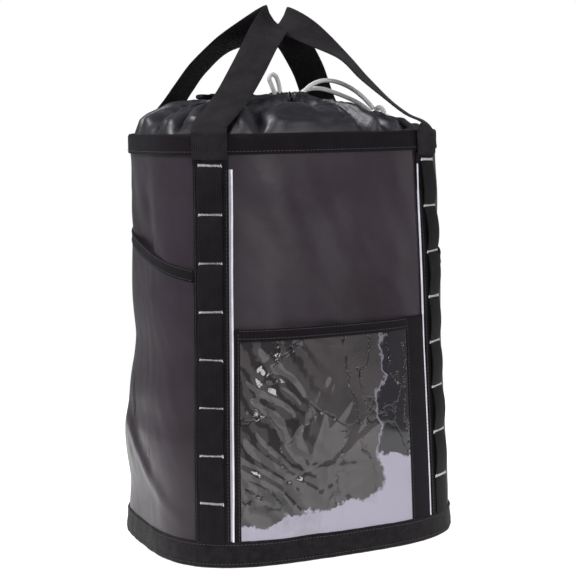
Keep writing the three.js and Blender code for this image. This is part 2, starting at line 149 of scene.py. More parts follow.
def ring_noise(angle, scale, seed):
    """Noise round the bag that meets itself after a full turn."""
    return smooth_noise(cos(angle) * scale, sin(angle) * scale, seed)


def turn_between(angle, centre):
    return (angle - centre + pi) % (2 * pi) - pi


def slouch(angle, height):
    """How far the loaded cloth stands out from or sinks behind the plain wall."""
    angle, height = np.broadcast_arrays(np.asarray(angle, float), np.asarray(height, float))
    left = bump(turn_between(angle, 0.9 * pi), 0, 0.75)
    right = bump(turn_between(angle, 0), 0, 0.75)
    front = bump(turn_between(angle, -pi / 2), 0, 0.7)
    back = bump(turn_between(angle, pi / 2), 0, 0.7)
    upper = np.clip((height - 0.13) / 0.07, 0, 1) * np.clip((0.44 - height) / 0.05, 0, 1)
    out = left * (1.6 * bump(height, 0.112, 0.04) - 4.4 * bump(height, 0.226, 0.032) - 6.0 * upper)
    out -= left * (3.4 * bump(height, 0.060, 0.03) + 1.6 * bump(height, 0.150, 0.018))
    out += right * (0.6 * bump(height, 0.075, 0.02) - 4.6 * bump(height, 0.228, 0.06))
    out -= right * 2.6 * bump(height, 0.150, 0.06)
    out += -2.5 * front * bump(height, 0.36, 0.08)
    out += 3.0 * back * bump(height, 0.16, 0.10) - 2.5 * back * bump(height, 0.33, 0.07)
    return out * MM


def sway(corner, height, at_rim=-10.0):
    """How far a corner's straps lean along the wall: the front right one sags to the front."""
    if corner != "front_right":
        return 0.0
    lean = float(np.clip((height - 0.33) / 0.09, 0, 1))
    return (-3.4 + (at_rim + 3.4) * lean * lean * (3 - 2 * lean)) * MM


def place(angle, height, lift=0.0):
    return wall(angle, height, np.asarray(lift, float) + slouch(angle, height))


# ---- meshes ----

def add_object(name, data):
    thing = bpy.data.objects.new(name, data)
    bpy.context.collection.objects.link(thing)
    return thing


def add_mesh(name, points, faces, uvs, material):
    """A mesh object from points, faces and one uv, in metres of cloth, for each point."""
    mesh = bpy.data.meshes.new(name)
    mesh.from_pydata(np.asarray(points).reshape(-1, 3).tolist(), [], faces)
    layer = mesh.uv_layers.new(name="cloth")
    loops = np.zeros(len(mesh.loops), np.int32)
    mesh.loops.foreach_get("vertex_index", loops)
    layer.data.foreach_set("uv", np.asarray(uvs, np.float32).reshape(-1, 2)[loops].ravel())
    mesh.materials.append(material)
    mesh.shade_smooth()
    mesh.update()
    return add_object(name, mesh)


def finish_piece(piece, slot, *nodes, body="root"):
    """Puts a piece on its body and hides the CAD nodes that it stands for. The slot is not used."""
    if "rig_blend" not in piece:
        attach(piece, body)
    if nodes:
        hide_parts(*nodes)
    return piece


def travelled(points):
    """Distances along a line of points, from its start."""
    steps = np.linalg.norm(np.diff(points, axis=0), axis=1)
    return np.concatenate([[0], np.cumsum(steps)])


def grid_faces(rows, columns, offset=0, flip=False, closed=False):
    faces = []
    last = columns if closed else columns - 1
    for row in range(rows - 1):
        for column in range(last):
            a = offset + row * columns + column
            b = offset + row * columns + (column + 1) % columns
            face = (a, b, b + columns, a + columns)
            faces.append(face[::-1] if flip else face)
    return faces


def shell(name, outer, inner, uvs, material):
    """A thin closed solid between two grids of points: outer faces out, edges joined."""
    rows, columns = outer.shape[:2]
    count = rows * columns
    faces = grid_faces(rows, columns) + grid_faces(rows, columns, count, flip=True)
    border = [(0, c) for c in range(columns)]
    border += [(r, columns - 1) for r in range(1, rows)]
    border += [(rows - 1, c) for c in range(columns - 2, -1, -1)]
    border += [(r, 0) for r in range(rows - 2, 0, -1)]
    ring = [r * columns + c for r, c in border]
    for here, ahead in zip(ring, ring[1:] + ring[:1]):
        faces.append((here, here + count, ahead + count, ahead))
    points = np.concatenate([outer.reshape(-1, 3), inner.reshape(-1, 3)])
    both = np.concatenate([uvs.reshape(-1, 2)] * 2)
    return add_mesh(name, points, faces, both, material)


def closing_faces(rows, columns):
    """The faces that join a grid's last row to its first."""
    base = (rows - 1) * columns
    turned = [*range(1, columns), 0]
    return [(base + here, base + ahead, ahead, here) for here, ahead in enumerate(turned)]


def tube_mesh(loops, uvs, closed_length=False):
    """Faces, points and uvs of a solid through closed loops of points, capped unless it closes."""
    loops = np.asarray(loops, float)
    rows, columns = loops.shape[:2]
    faces = grid_faces(rows, columns, closed=True)
    if closed_length:
        faces += closing_faces(rows, columns)
    else:
        faces.append(tuple(range(columns))[::-1])
        faces.append(tuple((rows - 1) * columns + c for c in range(columns)))
    return loops.reshape(-1, 3), faces, np.asarray(uvs, float).reshape(-1, 2)


def strap_section(width, thick, crown=0.12, top_points=9):
    """A webbing's section as (across, up) pairs, anticlockwise from its lower left corner."""
    half, edge = width / 2, thick * 0.45
    bottom = [(s * (half - edge), 0.0) for s in np.linspace(-1, 1, 5)]
    right = [
        (half - edge + edge * sin(t), thick / 2 - thick / 2 * cos(t))
        for t in np.linspace(0, pi, 6)[1:-1]
    ]
    top = [
        (s * (half - edge), thick * (1 + crown * (1 - s * s)))
        for s in np.linspace(1, -1, top_points)
    ]
    left = [(-x, thick - y) for x, y in right]
    return np.array(bottom + right + top + left)


def wall_strap(name, corner, centre, width, heights, lift, thick, material, wobble=0.0, leans=True):
    """A strap sewn up the wall, its middle at a distance round from a corner's own line.
    Height, lift and distance are arrays or functions of the height."""
    section = strap_section(width, thick)
    lengths = travelled(section)
    loops, uvs = [], []
    for height in heights:
        middle = centre(height) if callable(centre) else centre
        stand = lift(height) if callable(lift) else lift
        shake = wobble * smooth_noise(height * 23, corner_seed(corner), 0.3)
        middle += sway(corner, height) if leans else 0.0
        angles = walk(CORNERS[corner], middle + shake + section[:, 0], height)
        loops.append(place(angles, height, stand + section[:, 1]))
        uvs.append(np.stack([lengths, np.full(len(lengths), height)], axis=-1))
    return add_mesh(name, *tube_mesh(loops, uvs), material)


def corner_seed(corner):
    return 1.7 * (1 + list(CORNERS).index(corner))


def ring_band(name, profile, material, steps=220, wave=None):
    """A band round the whole bag with a closed profile of (lift, height) pairs."""
    section = np.array(profile)
    lengths = travelled(section)
    loops, uvs = [], []
    run = 0.0
    previous = None
    for angle in np.linspace(-pi, pi, steps, endpoint=False):
        shape = section + (wave(angle, section) if wave else 0)
        loop = place(angle, shape[:, 1], shape[:, 0])
        middle = loop[0]
        run += 0 if previous is None else float(np.linalg.norm(middle - previous))
        previous = middle
        loops.append(loop)
        uvs.append(np.stack([np.full(len(lengths), run), lengths], axis=-1))
    return add_mesh(name, *tube_mesh(loops, uvs, closed_length=True), material)


# ---- threads ----

STITCH_LENGTH = 2.8 * MM
STITCH_PITCH = 4.0 * MM
STITCH_THICK = 0.75 * MM
STITCH_RINGS = 5
STITCH_SIDES = 6


def sew(name, points, normals, slot):
    """Sewing stitches along a line: each is a small thread bead that dips into the cloth."""
    points, normals = np.asarray(points, float), np.asarray(normals, float)
    travel = travelled(points)

    def along(values, at):
        return np.array([np.interp(at, travel, values[:, k]) for k in range(3)])

    vertices, faces, uvs = [], [], []
    for stitch in range(int(travel[-1] // STITCH_PITCH)):
        start = stitch * STITCH_PITCH
        base = len(vertices)
        for ring in range(STITCH_RINGS):
            share = ring / (STITCH_RINGS - 1)
            at = start + STITCH_LENGTH * share
            centre, normal = along(points, at), along(normals, at)
            ahead = along(points, at + 0.4 * MM) - centre
            size = np.linalg.norm(ahead)
            ahead = ahead / size if size > 1e-9 else np.array([0.0, 0.0, 1.0])
            side = np.cross(ahead, normal)
            side /= max(np.linalg.norm(side), 1e-9)
            radius = STITCH_THICK / 2 * (0.35 + 0.65 * sin(pi * share) ** 0.5)
            rise = STITCH_THICK * 0.35 * sin(pi * share)
            for k in range(STITCH_SIDES):
                turn = tau * k / STITCH_SIDES
                up = normal * (rise + radius * sin(turn))
                vertices.append(centre + up + side * radius * cos(turn))
                uvs.append((turn * STITCH_THICK, at))
        faces += grid_faces(STITCH_RINGS, STITCH_SIDES, base, closed=True)
        faces.append(tuple(base + k for k in range(STITCH_SIDES))[::-1])
        last = base + (STITCH_RINGS - 1) * STITCH_SIDES
        faces.append(tuple(last + k for k in range(STITCH_SIDES)))
    finish_piece(add_mesh(name, vertices, faces, uvs, THREAD), slot)


def sew_edge(name, line, slot):
    """Stitches along a line of points that lies on the wall."""
    angles = np.arctan2(line[:, 1] / BASE_HALF[1], line[:, 0] / BASE_HALF[0])
    sew(name, line, wall_normal(angles, line[:, 2]), slot)


def wall_normal(angle, height):
    delta = place(angle, height, 1.0) - place(angle, height, 0.0)
    return delta / np.linalg.norm(delta, axis=-1, keepdims=True)


def thread_tube(points, radius, sides=6):
    """Loops of points for a round tube along a line of points."""
    points = np.asarray(points, float)
    ahead = np.gradient(points, axis=0)
    ahead /= np.linalg.norm(ahead, axis=1, keepdims=True)
    up = np.array([0.3, 0.2, 1.0])
    turns = [tau * k / sides for k in range(sides)]
    loops = []
    for centre, way in zip(points, ahead):
        side = np.cross(way, up)
        side /= np.linalg.norm(side)
        up = np.cross(side, way)
        loops.append([centre + radius * (side * cos(t) + up * sin(t)) for t in turns])
    return np.array(loops)


def joined(parts):
    """One list of points, faces and uvs from several."""
    points, faces, uvs, offset = [], [], [], 0
    for part_points, part_faces, part_uvs in parts:
        points.append(np.asarray(part_points).reshape(-1, 3))
        uvs.append(np.asarray(part_uvs).reshape(-1, 2))
        faces += [tuple(i + offset for i in face) for face in part_faces]
        offset += len(points[-1])
    return np.concatenate(points), faces, np.concatenate(uvs)


# ---- materials ----

SOCKETS = {
    "rough": "Roughness", "spec": "Specular IOR Level", "sheen": "Sheen Weight",
    "sheen_rough": "Sheen Roughness", "coat": "Coat Weight", "coat_rough": "Coat Roughness",
    "alpha": "Alpha", "ior": "IOR",
}


class Field:
    """A number that one of a material's nodes gives, for use in sums."""

    def __init__(self, nodes, socket):
        self.nodes, self.socket = nodes, socket

    def __add__(self, other):
        return self.nodes.math("ADD", self, other)

    def __sub__(self, other):
        return self.nodes.math("SUBTRACT", self, other)

    def __rsub__(self, other):
        return self.nodes.math("SUBTRACT", other, self)

    def __mul__(self, other):
        return self.nodes.math("MULTIPLY", self, other)

    def most(self, other):
        return self.nodes.math("MAXIMUM", self, other)

    def clamped(self):
        return self.nodes.math("MINIMUM", self.most(0.0), 1.0)


class Nodes:
    """Short names for building one material's nodes."""

    def __init__(self, name):
        self.material = bpy.data.materials.new(name)
        self.material.use_nodes = True
        self.tree = self.material.node_tree
        self.shader = self.tree.nodes["Principled BSDF"]

    def add(self, kind, **settings):
        node = self.tree.nodes.new("ShaderNode" + kind)
        for key, value in settings.items():
            setattr(node, key, value)
        return node

    def feed(self, target, value):
        """Links a node's output to a socket, or sets the socket to a number or colour."""
        if isinstance(value, (int, float)):
            target.default_value = value
        elif isinstance(value, tuple):
            target.default_value = (*value, 1) if len(target.default_value) == 4 else value
        else:
            self.tree.links.new(getattr(value, "socket", value), target)

    def math(self, operation, *values):
        node = self.add("Math", operation=operation)
        for target, value in zip(node.inputs, values):
            self.feed(target, value)
        return Field(self, node.outputs[0])

    def cloth_coordinates(self):
        split = self.add("SeparateXYZ")
        self.feed(split.inputs[0], self.add("UVMap", uv_map="cloth").outputs[0])
        return Field(self, split.outputs[0]), Field(self, split.outputs[1])

    def wave(self, coordinate, period):
        """A sine of 0 to 1 with a period in metres."""
        turned = self.math("MULTIPLY_ADD", coordinate, tau / period, 0.0)
        return self.math("MULTIPLY_ADD", self.math("SINE", turned), 0.5, 0.5)

    def noise(self, scale, detail=3.0, roughness=0.55, distortion=0.0, stretch=None):
        node = self.add("TexNoise")
        settings = zip(("Scale", "Detail", "Roughness", "Distortion"), (scale, detail, roughness, distortion))
        for name, value in settings:
            node.inputs[name].default_value = value
        where = self.add("TexCoord").outputs["Object"]
        if stretch:
            mapping = self.add("Mapping")
            self.feed(mapping.inputs["Scale"], stretch)
            self.feed(mapping.inputs[0], where)
            where = mapping.outputs[0]
        self.feed(node.inputs["Vector"], where)
        return Field(self, node.outputs[0])

    def colours(self, share, low, high, start=0.3, end=0.7):
        ramp = self.add("ValToRGB")
        for stop, position, colour in zip(ramp.color_ramp.elements, (start, end), (low, high)):
            stop.position = position
            stop.color = (*colour, 1)
        self.feed(ramp.inputs[0], share)
        return ramp.outputs[0]

    def mixed(self, share, low, high):
        """One of two colours or the other, each a node's output or three numbers."""
        node = self.add("Mix", data_type="RGBA")
        self.feed(node.inputs["Factor"], share)
        self.feed(node.inputs[6], low)
        self.feed(node.inputs[7], high)
        return node.outputs[2]

    def bump(self, height, distance, strength, under=None):
        node = self.add("Bump")
        self.feed(node.inputs["Strength"], strength)
        self.feed(node.inputs["Distance"], distance)
        self.feed(node.inputs["Height"], height)
        if under:
            self.feed(node.inputs["Normal"], under)
        return node.outputs[0]

    def done(self, colour, normal, rough=None, **finish):
        self.feed(self.shader.inputs["Base Color"], colour)
        self.feed(self.shader.inputs["Normal"], normal)
        if rough:
            self.feed(self.shader.inputs["Roughness"], rough)
        self.set(**finish)
        return self.material

    def set(self, **finish):
        for key, value in finish.items():
            self.shader.inputs[SOCKETS[key]].default_value = value


def coated_material():
    """Heavy coated cloth: soft sheen from the coating, a fine grain and the weave just showing."""
    n = Nodes("coated_fabric")
    u, v = n.cloth_coordinates()
    colour = n.colours(n.noise(9, 4, 0.6), (0.015, 0.009, 0.012), (0.028, 0.019, 0.028))
    rubbed = n.noise(55, 5, 0.7) + n.noise(7, 2) * 2.4
    normal = n.bump(n.wave(u, 1.1 * MM) + n.wave(v, 1.1 * MM), 0.05 * MM, 0.35)
    normal = n.bump(n.noise(900, 2), 0.06 * MM, 0.5, normal)
    normal = n.bump(n.noise(38, 3), 1.2 * MM, 0.35, normal)
    return n.done(colour, normal, n.math("MULTIPLY_ADD", rubbed, 0.20, 0.06), spec=0.36, sheen=0.02)


def webbing_material(name, low, high, rib, spec):
    """Woven webbing: lengthwise ribs crossed by the weft, a herringbone twill and dusty edges."""
    n = Nodes(name)
    u, v = n.cloth_coordinates()
    ribs = n.wave(u, rib)
    weft = n.wave(v + ribs * (0.5 * MM), 1.15 * MM)
    weave = ribs * weft + n.wave(u + v, 2.3 * MM) * 0.35
    dust = n.noise(70, 4, 0.6) * 0.55
    colour = n.colours(n.math("MULTIPLY_ADD", weave, 0.35, dust), low, high, 0.15, 0.8)
    normal = n.bump(weave, 0.35 * MM, 0.8)
    normal = n.bump(n.noise(1500, 1), 0.08 * MM, 0.5, normal)
    return n.done(colour, normal, rough=0.62, spec=spec, sheen=0.03)


def hood_material():
    """Light nylon: close weave with a soft gleam and a ripstop check."""
    n = Nodes("hood_fabric")
    u, v = n.cloth_coordinates()
    checks = [n.math("POWER", n.wave(way, 6 * MM), 24) for way in (u, v)]
    colour = n.colours(n.noise(14, 3), (0.003, 0.003, 0.005), (0.008, 0.007, 0.014))
    normal = n.bump(n.wave(u, 0.9 * MM) + n.wave(v, 0.9 * MM), 0.04 * MM, 0.5)
    normal = n.bump(checks[0].most(checks[1]), 0.08 * MM, 0.5, normal)
    normal = n.bump(n.noise(75, 3, 0.55, 0.8), 1.0 * MM, 0.3, normal)
    return n.done(colour, normal, rough=0.43, spec=0.55, sheen=0.05, sheen_rough=0.4)


def base_material():
    """Coarse brushed cloth of the band round the base."""
    n = Nodes("base_fabric")
    u, v = n.cloth_coordinates()
    colour = n.colours(n.noise(130, 5, 0.7), (0.003, 0.002, 0.003), (0.015, 0.012, 0.014), 0.32, 0.72)
    normal = n.bump(n.wave(u, 1.7 * MM) * n.wave(v, 1.5 * MM), 0.45 * MM, 0.6)
    normal = n.bump(n.noise(420, 5, 0.75), 0.5 * MM, 0.7, normal)
    return n.done(colour, normal, rough=0.88, spec=0.12, sheen=0.10)


def film_material():
    """Clear flexible film over dark cloth, its colour painted reflection: greyed by the room it mirrors,
    with thin dark reflections painted along the creases, slanting dark swirls on the left, and pale and dark
    painted reflections on the right and below."""
    n = Nodes("clear_window")
    u, v = n.cloth_coordinates()
    haze_and_reflection_noise = n.noise(26, 4, 0.6)
    shift = (haze_and_reflection_noise - 0.5) * 0.07
    tear = (n.noise(34, 5, 0.62) - 0.5) * 0.05

    where = n.add("CombineXYZ")
    n.feed(where.inputs[0], (u + shift) * 21)
    n.feed(where.inputs[1], (v - shift) * 11)
    cells = n.add("TexVoronoi", feature="DISTANCE_TO_EDGE")
    n.feed(cells.inputs["Scale"], 1.0)
    n.feed(cells.inputs["Vector"], where.outputs[0])
    # Near 0 along the crease lines: painted dark there as dark reflections, and bumped as real creases.
    crease = (Field(n, cells.outputs["Distance"]) * 34).clamped()
    crease = crease.most(((n.noise(19, 3) - 0.57) * 14).clamped())

    # Slanting swirls on the left, painted dark as dark reflections.
    sweep = u * 1.1 + v * 0.8 + shift
    dark_reflection_swirl = ((n.wave(sweep, 0.024) - 0.45) * 3.5).clamped()
    left = (2.3 - (u + tear) * 21).clamped()
    dark_reflection_swirl = 1.0 - dark_reflection_swirl * left * 0.72
    # The film's grey tone: painted reflection of the room it mirrors, with the film's own haze.
    tone = n.colours(haze_and_reflection_noise, (0.040, 0.035, 0.036), (0.082, 0.072, 0.074), 0.25, 0.75)
    # Painted dark reflections, near black, in the creases and the swirls.
    tone = n.mixed(crease * dark_reflection_swirl, (0.006, 0.005, 0.006), tone)

    # Right of this line the film is painted near black: a painted dark reflection in a strip beside the right
    # binding.
    edge = u - 0.163 + tear
    beyond = (edge * 500).clamped()
    tone = n.mixed(beyond * 0.85, tone, (0.012, 0.010, 0.014))
    # Pale painted reflections: a highlight line along that edge, a band low down and a patch at the lower
    # right of the dark strip.
    rim = (1.0 - n.math("ABSOLUTE", edge) * 330).clamped()
    low = ((u * 0.12 + tear * 0.9 + 0.044 - v) * 420).clamped()
    side = ((tear + 0.105 - v) * 420).clamped()
    pale = (rim * 0.6).most(side * beyond).most(low * n.math("MULTIPLY_ADD", haze_and_reflection_noise, 1.0))
    tone = n.mixed(pale.clamped(), tone, (0.37, 0.34, 0.42))
    return n.done(
        tone, n.bump(crease, 0.6 * MM, 0.5), n.math("MULTIPLY_ADD", haze_and_reflection_noise, 0.08, 0.03),
        spec=0.6, ior=1.5, alpha=0.78, coat=0.3, coat_rough=0.04,
    )


def reflective_material(name, colour, rough):
    """Reflective tape: fine beads over a pale ground."""
    n = Nodes(name)
    beads = n.add("TexVoronoi")
    n.feed(beads.inputs["Scale"], 1600.0)
    n.feed(beads.inputs["Vector"], n.add("TexCoord").outputs["Object"])
    tone = n.colours(n.noise(60, 3), tuple(0.8 * c for c in colour), colour)
    normal = n.bump(beads.outputs[0], 0.1 * MM, 0.5)
    return n.done(tone, normal, rough=rough, spec=0.5, coat=0.3, coat_rough=0.2)


def cord_material():
    """Braided cord: two crossing sets of strands."""
    n = Nodes("cord")
    u, v = n.cloth_coordinates()
    braid = n.wave(v + u, 2.6 * MM).most(n.wave(v - u, 2.6 * MM))
    colour = n.colours(braid, (0.62, 0.61, 0.60), (0.92, 0.91, 0.90), 0.2, 0.9)
    return n.done(colour, n.bump(braid, 0.4 * MM, 0.9), rough=0.6, spec=0.3, sheen=0.2)


def thread_material(name, colour):
    n = Nodes(name)
    twist = n.noise(900, 2, 0.5, 0.0, (1, 1, 3))
    tone = n.colours(twist, tuple(0.7 * c for c in colour), colour)
    return n.done(tone, n.bump(twist, 0.15 * MM, 0.6), rough=0.55, spec=0.3, sheen=0.2)


def stiffener_material():
    n = Nodes("stiffener")
    tone = n.colours(n.noise(40, 3), (0.012, 0.012, 0.013), (0.022, 0.022, 0.024))
    return n.done(tone, n.bump(n.noise(500, 2), 0.1 * MM, 0.5), rough=0.55, spec=0.4)


COATED = coated_material()
WEBBING = webbing_material("webbing", (0.001, 0.001, 0.001), (0.015, 0.012, 0.015), 2.3 * MM, 0.08)
# Lighter than the corners' webbing, though the handles are the same webbing: painted light for the extra
# light that falls on the up-facing handles.
HANDLE_WEBBING = webbing_material(
    "handle_webbing", (0.002, 0.001, 0.002), (0.027, 0.023, 0.026), 2.3 * MM, 0.10
)
BINDING = webbing_material("binding", (0.002, 0.001, 0.002), (0.011, 0.008, 0.012), 1.4 * MM, 0.09)
HOOD = hood_material()
BASE = base_material()
FILM = film_material()
PIPING = reflective_material("reflective", (0.80, 0.78, 0.86), 0.35)
PIPING_TAPE = reflective_material("reflective_tape", (0.30, 0.29, 0.34), 0.45)
CORD = cord_material()
BARTACK = thread_material("bartack_thread", (0.86, 0.81, 0.82))
THREAD = thread_material("dark_thread", (0.030, 0.028, 0.031))
STIFFENER = stiffener_material()


# ---- walls ----

def creases(angle, height):
    """Soft dents and long slack folds of the coated cloth, nil at the sewn edges."""
    from_rim = np.clip((RIM_BAND_BOTTOM - height) / 0.04, 0, 1)
    from_base = np.clip((height - BAND_TOP) / 0.03, 0, 1)
    gaps = [np.abs(turn_between(angle, corner)) for corner in CORNERS.values()]
    from_seam = np.clip((np.minimum.reduce(gaps) - 0.10) / 0.25, 0, 1)
    ease = from_rim * from_base * from_seam
    flat = [
        smooth_noise(a * 2.1, h * 9, 4.0) * 4.4 + smooth_noise(a * 6 + h * 14, h * 16, 9.0) * 2.6
        for a, h in zip(np.ravel(angle), np.ravel(height))
    ]
    out = np.reshape(flat, np.shape(angle))
    # a long slack fold that falls towards the front on each side, low down
    for side in (pi, 0.0):
        turn = turn_between(angle, side)
        line = height - (0.085 + 0.16 * turn * (1 if side else -1))
        out += 2.4 * np.exp(-((line / 0.011) ** 2)) * bump(turn, 0.2 if side else -0.2, 0.32)
        out -= 1.6 * np.exp(-(((line - 0.026) / 0.016) ** 2)) * bump(turn, 0.2 if side else -0.2, 0.35)
    return out * ease * MM


def panel_piece(name, start, end, columns, rows=80):
    """One wall, from the base to the rim binding and from seam to seam."""
    heights = np.linspace(4 * MM, 440 * MM, rows)
    share = np.linspace(0, 1, columns)
    angle = start + (end - start) * share
    angles, tall = np.meshgrid(angle, heights)
    fold = creases(angles, tall)
    outer = place(angles, tall, fold)
    inner = place(angles, tall, fold - WALL_CLOTH)
    length = float(travelled(outer[rows // 2])[-1])
    uvs = np.stack(np.meshgrid(share * length, heights), axis=-1)
    piece = shell(name + "_cloth", outer, inner, uvs, COATED)
    finish_piece(piece, "coated_fabric", name)


def build_panels():
    panel_piece("front_panel", CORNERS["front_left"], CORNERS["front_right"], 70)
    panel_piece("right_panel", CORNERS["front_right"], CORNERS["back_right"], 56)
    panel_piece("back_panel", CORNERS["back_right"], CORNERS["back_left"], 70)
    panel_piece("left_panel", CORNERS["back_left"], CORNERS["front_left"] + FULL_TURN, 56)


# ---- base and rim ----

def ring_line(height, lift):
    """A line round the bag at a height, and the wall's outward direction along it."""
    angles = np.linspace(-pi, pi, 500)
    tall = np.array([height(angle) if callable(height) else height for angle in angles])
    return place(angles, tall, lift), wall_normal(angles, tall)


def band_top_wave(angle):
    """The wavy upper edge of the base band."""
    return 1.6 * MM * ring_noise(angle, 3, 2.2)


def build_base():
    profile = [
        (0.3, 28.0), (0.3, 10.0), (0.2, 0.6), (1.6, 0.2), (3.2, 1.4), (3.7, 3.4), (3.4, 5.0),
        (3.6, 9.0), (3.4, 15.0), (3.0, 21.0), (2.9, 25.6), (2.6, 27.6), (1.4, 28.4),
    ]

    def wave(angle, section):
        up = section[:, 1] / (28 * MM)
        rows = []
        for lift, height in section:
            rough = smooth_noise(angle * 14, height * 90, 5.5) * 0.7
            rough += smooth_noise(angle * 38, height * 160, 1.5) * 0.35
            rows.append(rough * MM if lift > 1 * MM else 0.0)
        return np.stack([np.array(rows), band_top_wave(angle) * up**2], axis=-1)

    band = ring_band("base_band_cloth", np.array(profile[::-1]) * MM, BASE, 300, wave)
    finish_piece(band, "base_fabric", "base_band")

    upper = ring_line(lambda angle: BAND_TOP - 3 * MM + band_top_wave(angle), 3.3 * MM)
    sew("base_band_stitches", *upper, "base_fabric")
    sew("base_lower_stitches", *ring_line(5 * MM, 3.7 * MM), "base_fabric")

    rings, steps = 26, 160
    angles = np.linspace(-pi, pi, steps, endpoint=False)
    shares = np.linspace(1, 0.02, rings)
    edge = wall(angles, 0.0, -0.4 * MM)
    tops, bottoms, uvs = [], [], []
    for share in shares:
        ring = edge * [share, share, 0]
        dip = 0.5 * MM * (1 - share**6)
        bottoms.append(ring + [0, 0, dip])
        tops.append(ring + [0, 0, 2.6 * MM])
        uvs.append(ring[:, :2])
    points, faces, coordinates = tube_mesh(bottoms[::-1] + tops, uvs[::-1] + uvs)
    faces = [face[::-1] for face in faces]
    under = add_mesh("base_panel_cloth", points, faces, coordinates, BASE)
    finish_piece(under, "base_fabric", "base_panel")


def rim_wave(angle, section):
    up = (section[:, 1] - RIM_BAND_BOTTOM) / (RIM_HEIGHT - RIM_BAND_BOTTOM)
    push = 0.9 * ring_noise(angle, 4, 7.7)
    rise = 0.8 * ring_noise(angle, 2.5, 3.1)
    return np.stack([push * MM * up, rise * MM * up], axis=-1)


def build_rim():
    profile = [
        (-3.3, 434.2), (0.2, 434.0), (1.9, 434.1), (2.3, 435.2), (2.1, 438.0), (1.9, 442.0),
        (2.0, 447.0), (2.1, 451.0), (1.9, 453.6), (0.9, 455.2), (-0.8, 455.6), (-2.4, 455.0),
        (-3.3, 453.0), (-3.5, 447.0), (-3.5, 440.0),
    ]
    band = ring_band("rim_band_cloth", np.array(profile) * MM, BINDING, 260, rim_wave)
    finish_piece(band, "binding", "rim_band")
    sew("rim_band_stitches", *ring_line(437.2 * MM, 2.2 * MM), "binding")


# ---- corners ----

def over_rim(height):
    """0 below the rim binding and 1 where a layer has climbed over it."""
    return float(np.clip((height - (RIM_BAND_BOTTOM - 12 * MM)) / (8 * MM), 0, 1))


STRAP_THICK = 1.6 * MM
HANDLE_START = 429 * MM
TAPE_WIDTH = 3.6 * MM
BEAD_RADIUS = 1.15 * MM
BEAD_LIFT = 1.6 * MM
PIPING_LEAN = -4.0
STITCH_INSET = 2.2 * MM
TACK_REACH = 12.2 * MM
TACK_STEPS = 68
TACK_THREAD = 0.52 * MM


def webbing_lift(height):
    return (0.3 + 1.9 * over_rim(height)) * MM


def loop_lift(corner):
    """The tacked webbing's height over the wall: each loop is a little different."""
    chance = random.Random(17 + list(CORNERS).index(corner))
    fullness = [chance.uniform(0.7, 1.15) for _ in range(LOOP_COUNT)]
    lean = [chance.uniform(-0.25, 0.25) for _ in range(LOOP_COUNT)]
    last = FIRST_TACK - LOOP_COUNT * LOOP_PITCH

    def lift(height):
        along = (height - last) / LOOP_PITCH
        which = int(np.floor(along))
        stand = 2.0 * MM + 1.2 * MM * over_rim(height)
        if 0 <= which < LOOP_COUNT:
            share = along - which
            share += lean[which] * share * (1 - share)
            stand += 3.9 * MM * fullness[which] * sin(pi * share) ** 0.75
        tack = min(abs(along - round(along)), 1) * LOOP_PITCH
        return stand - 0.25 * MM * exp(-((tack / (2 * MM)) ** 2))

    return lift


def bartacks(corner, lift):
    """The eight dense zigzag tacks across the narrow webbing."""
    chance = random.Random(31 + list(CORNERS).index(corner))
    parts = []
    for tack in range(LOOP_COUNT + 1):
        height = FIRST_TACK - tack * LOOP_PITCH
        tilt = chance.uniform(-0.05, 0.05)
        line = []
        for step in range(TACK_STEPS + 1):
            across = -TACK_REACH + 2 * TACK_REACH * step / TACK_STEPS
            flare = 1 + 0.5 * abs(across / TACK_REACH) ** 6
            swing = 1.15 * MM * flare * (1 if step % 2 else -1) * chance.uniform(0.75, 1.2)
            at = height + swing + tilt * across
            angle = walk(CORNERS[corner], across + sway(corner, height), height)
            line.append(place(angle, at, lift(height) + 1.5 * MM + 0.15 * MM * (step % 2)))
        loops = thread_tube(line, TACK_THREAD, 5)
        parts.append(tube_mesh(loops, np.zeros(loops.shape[:2] + (2,))))
    return add_mesh(f"bartacks_{corner}", *joined(parts), BARTACK)


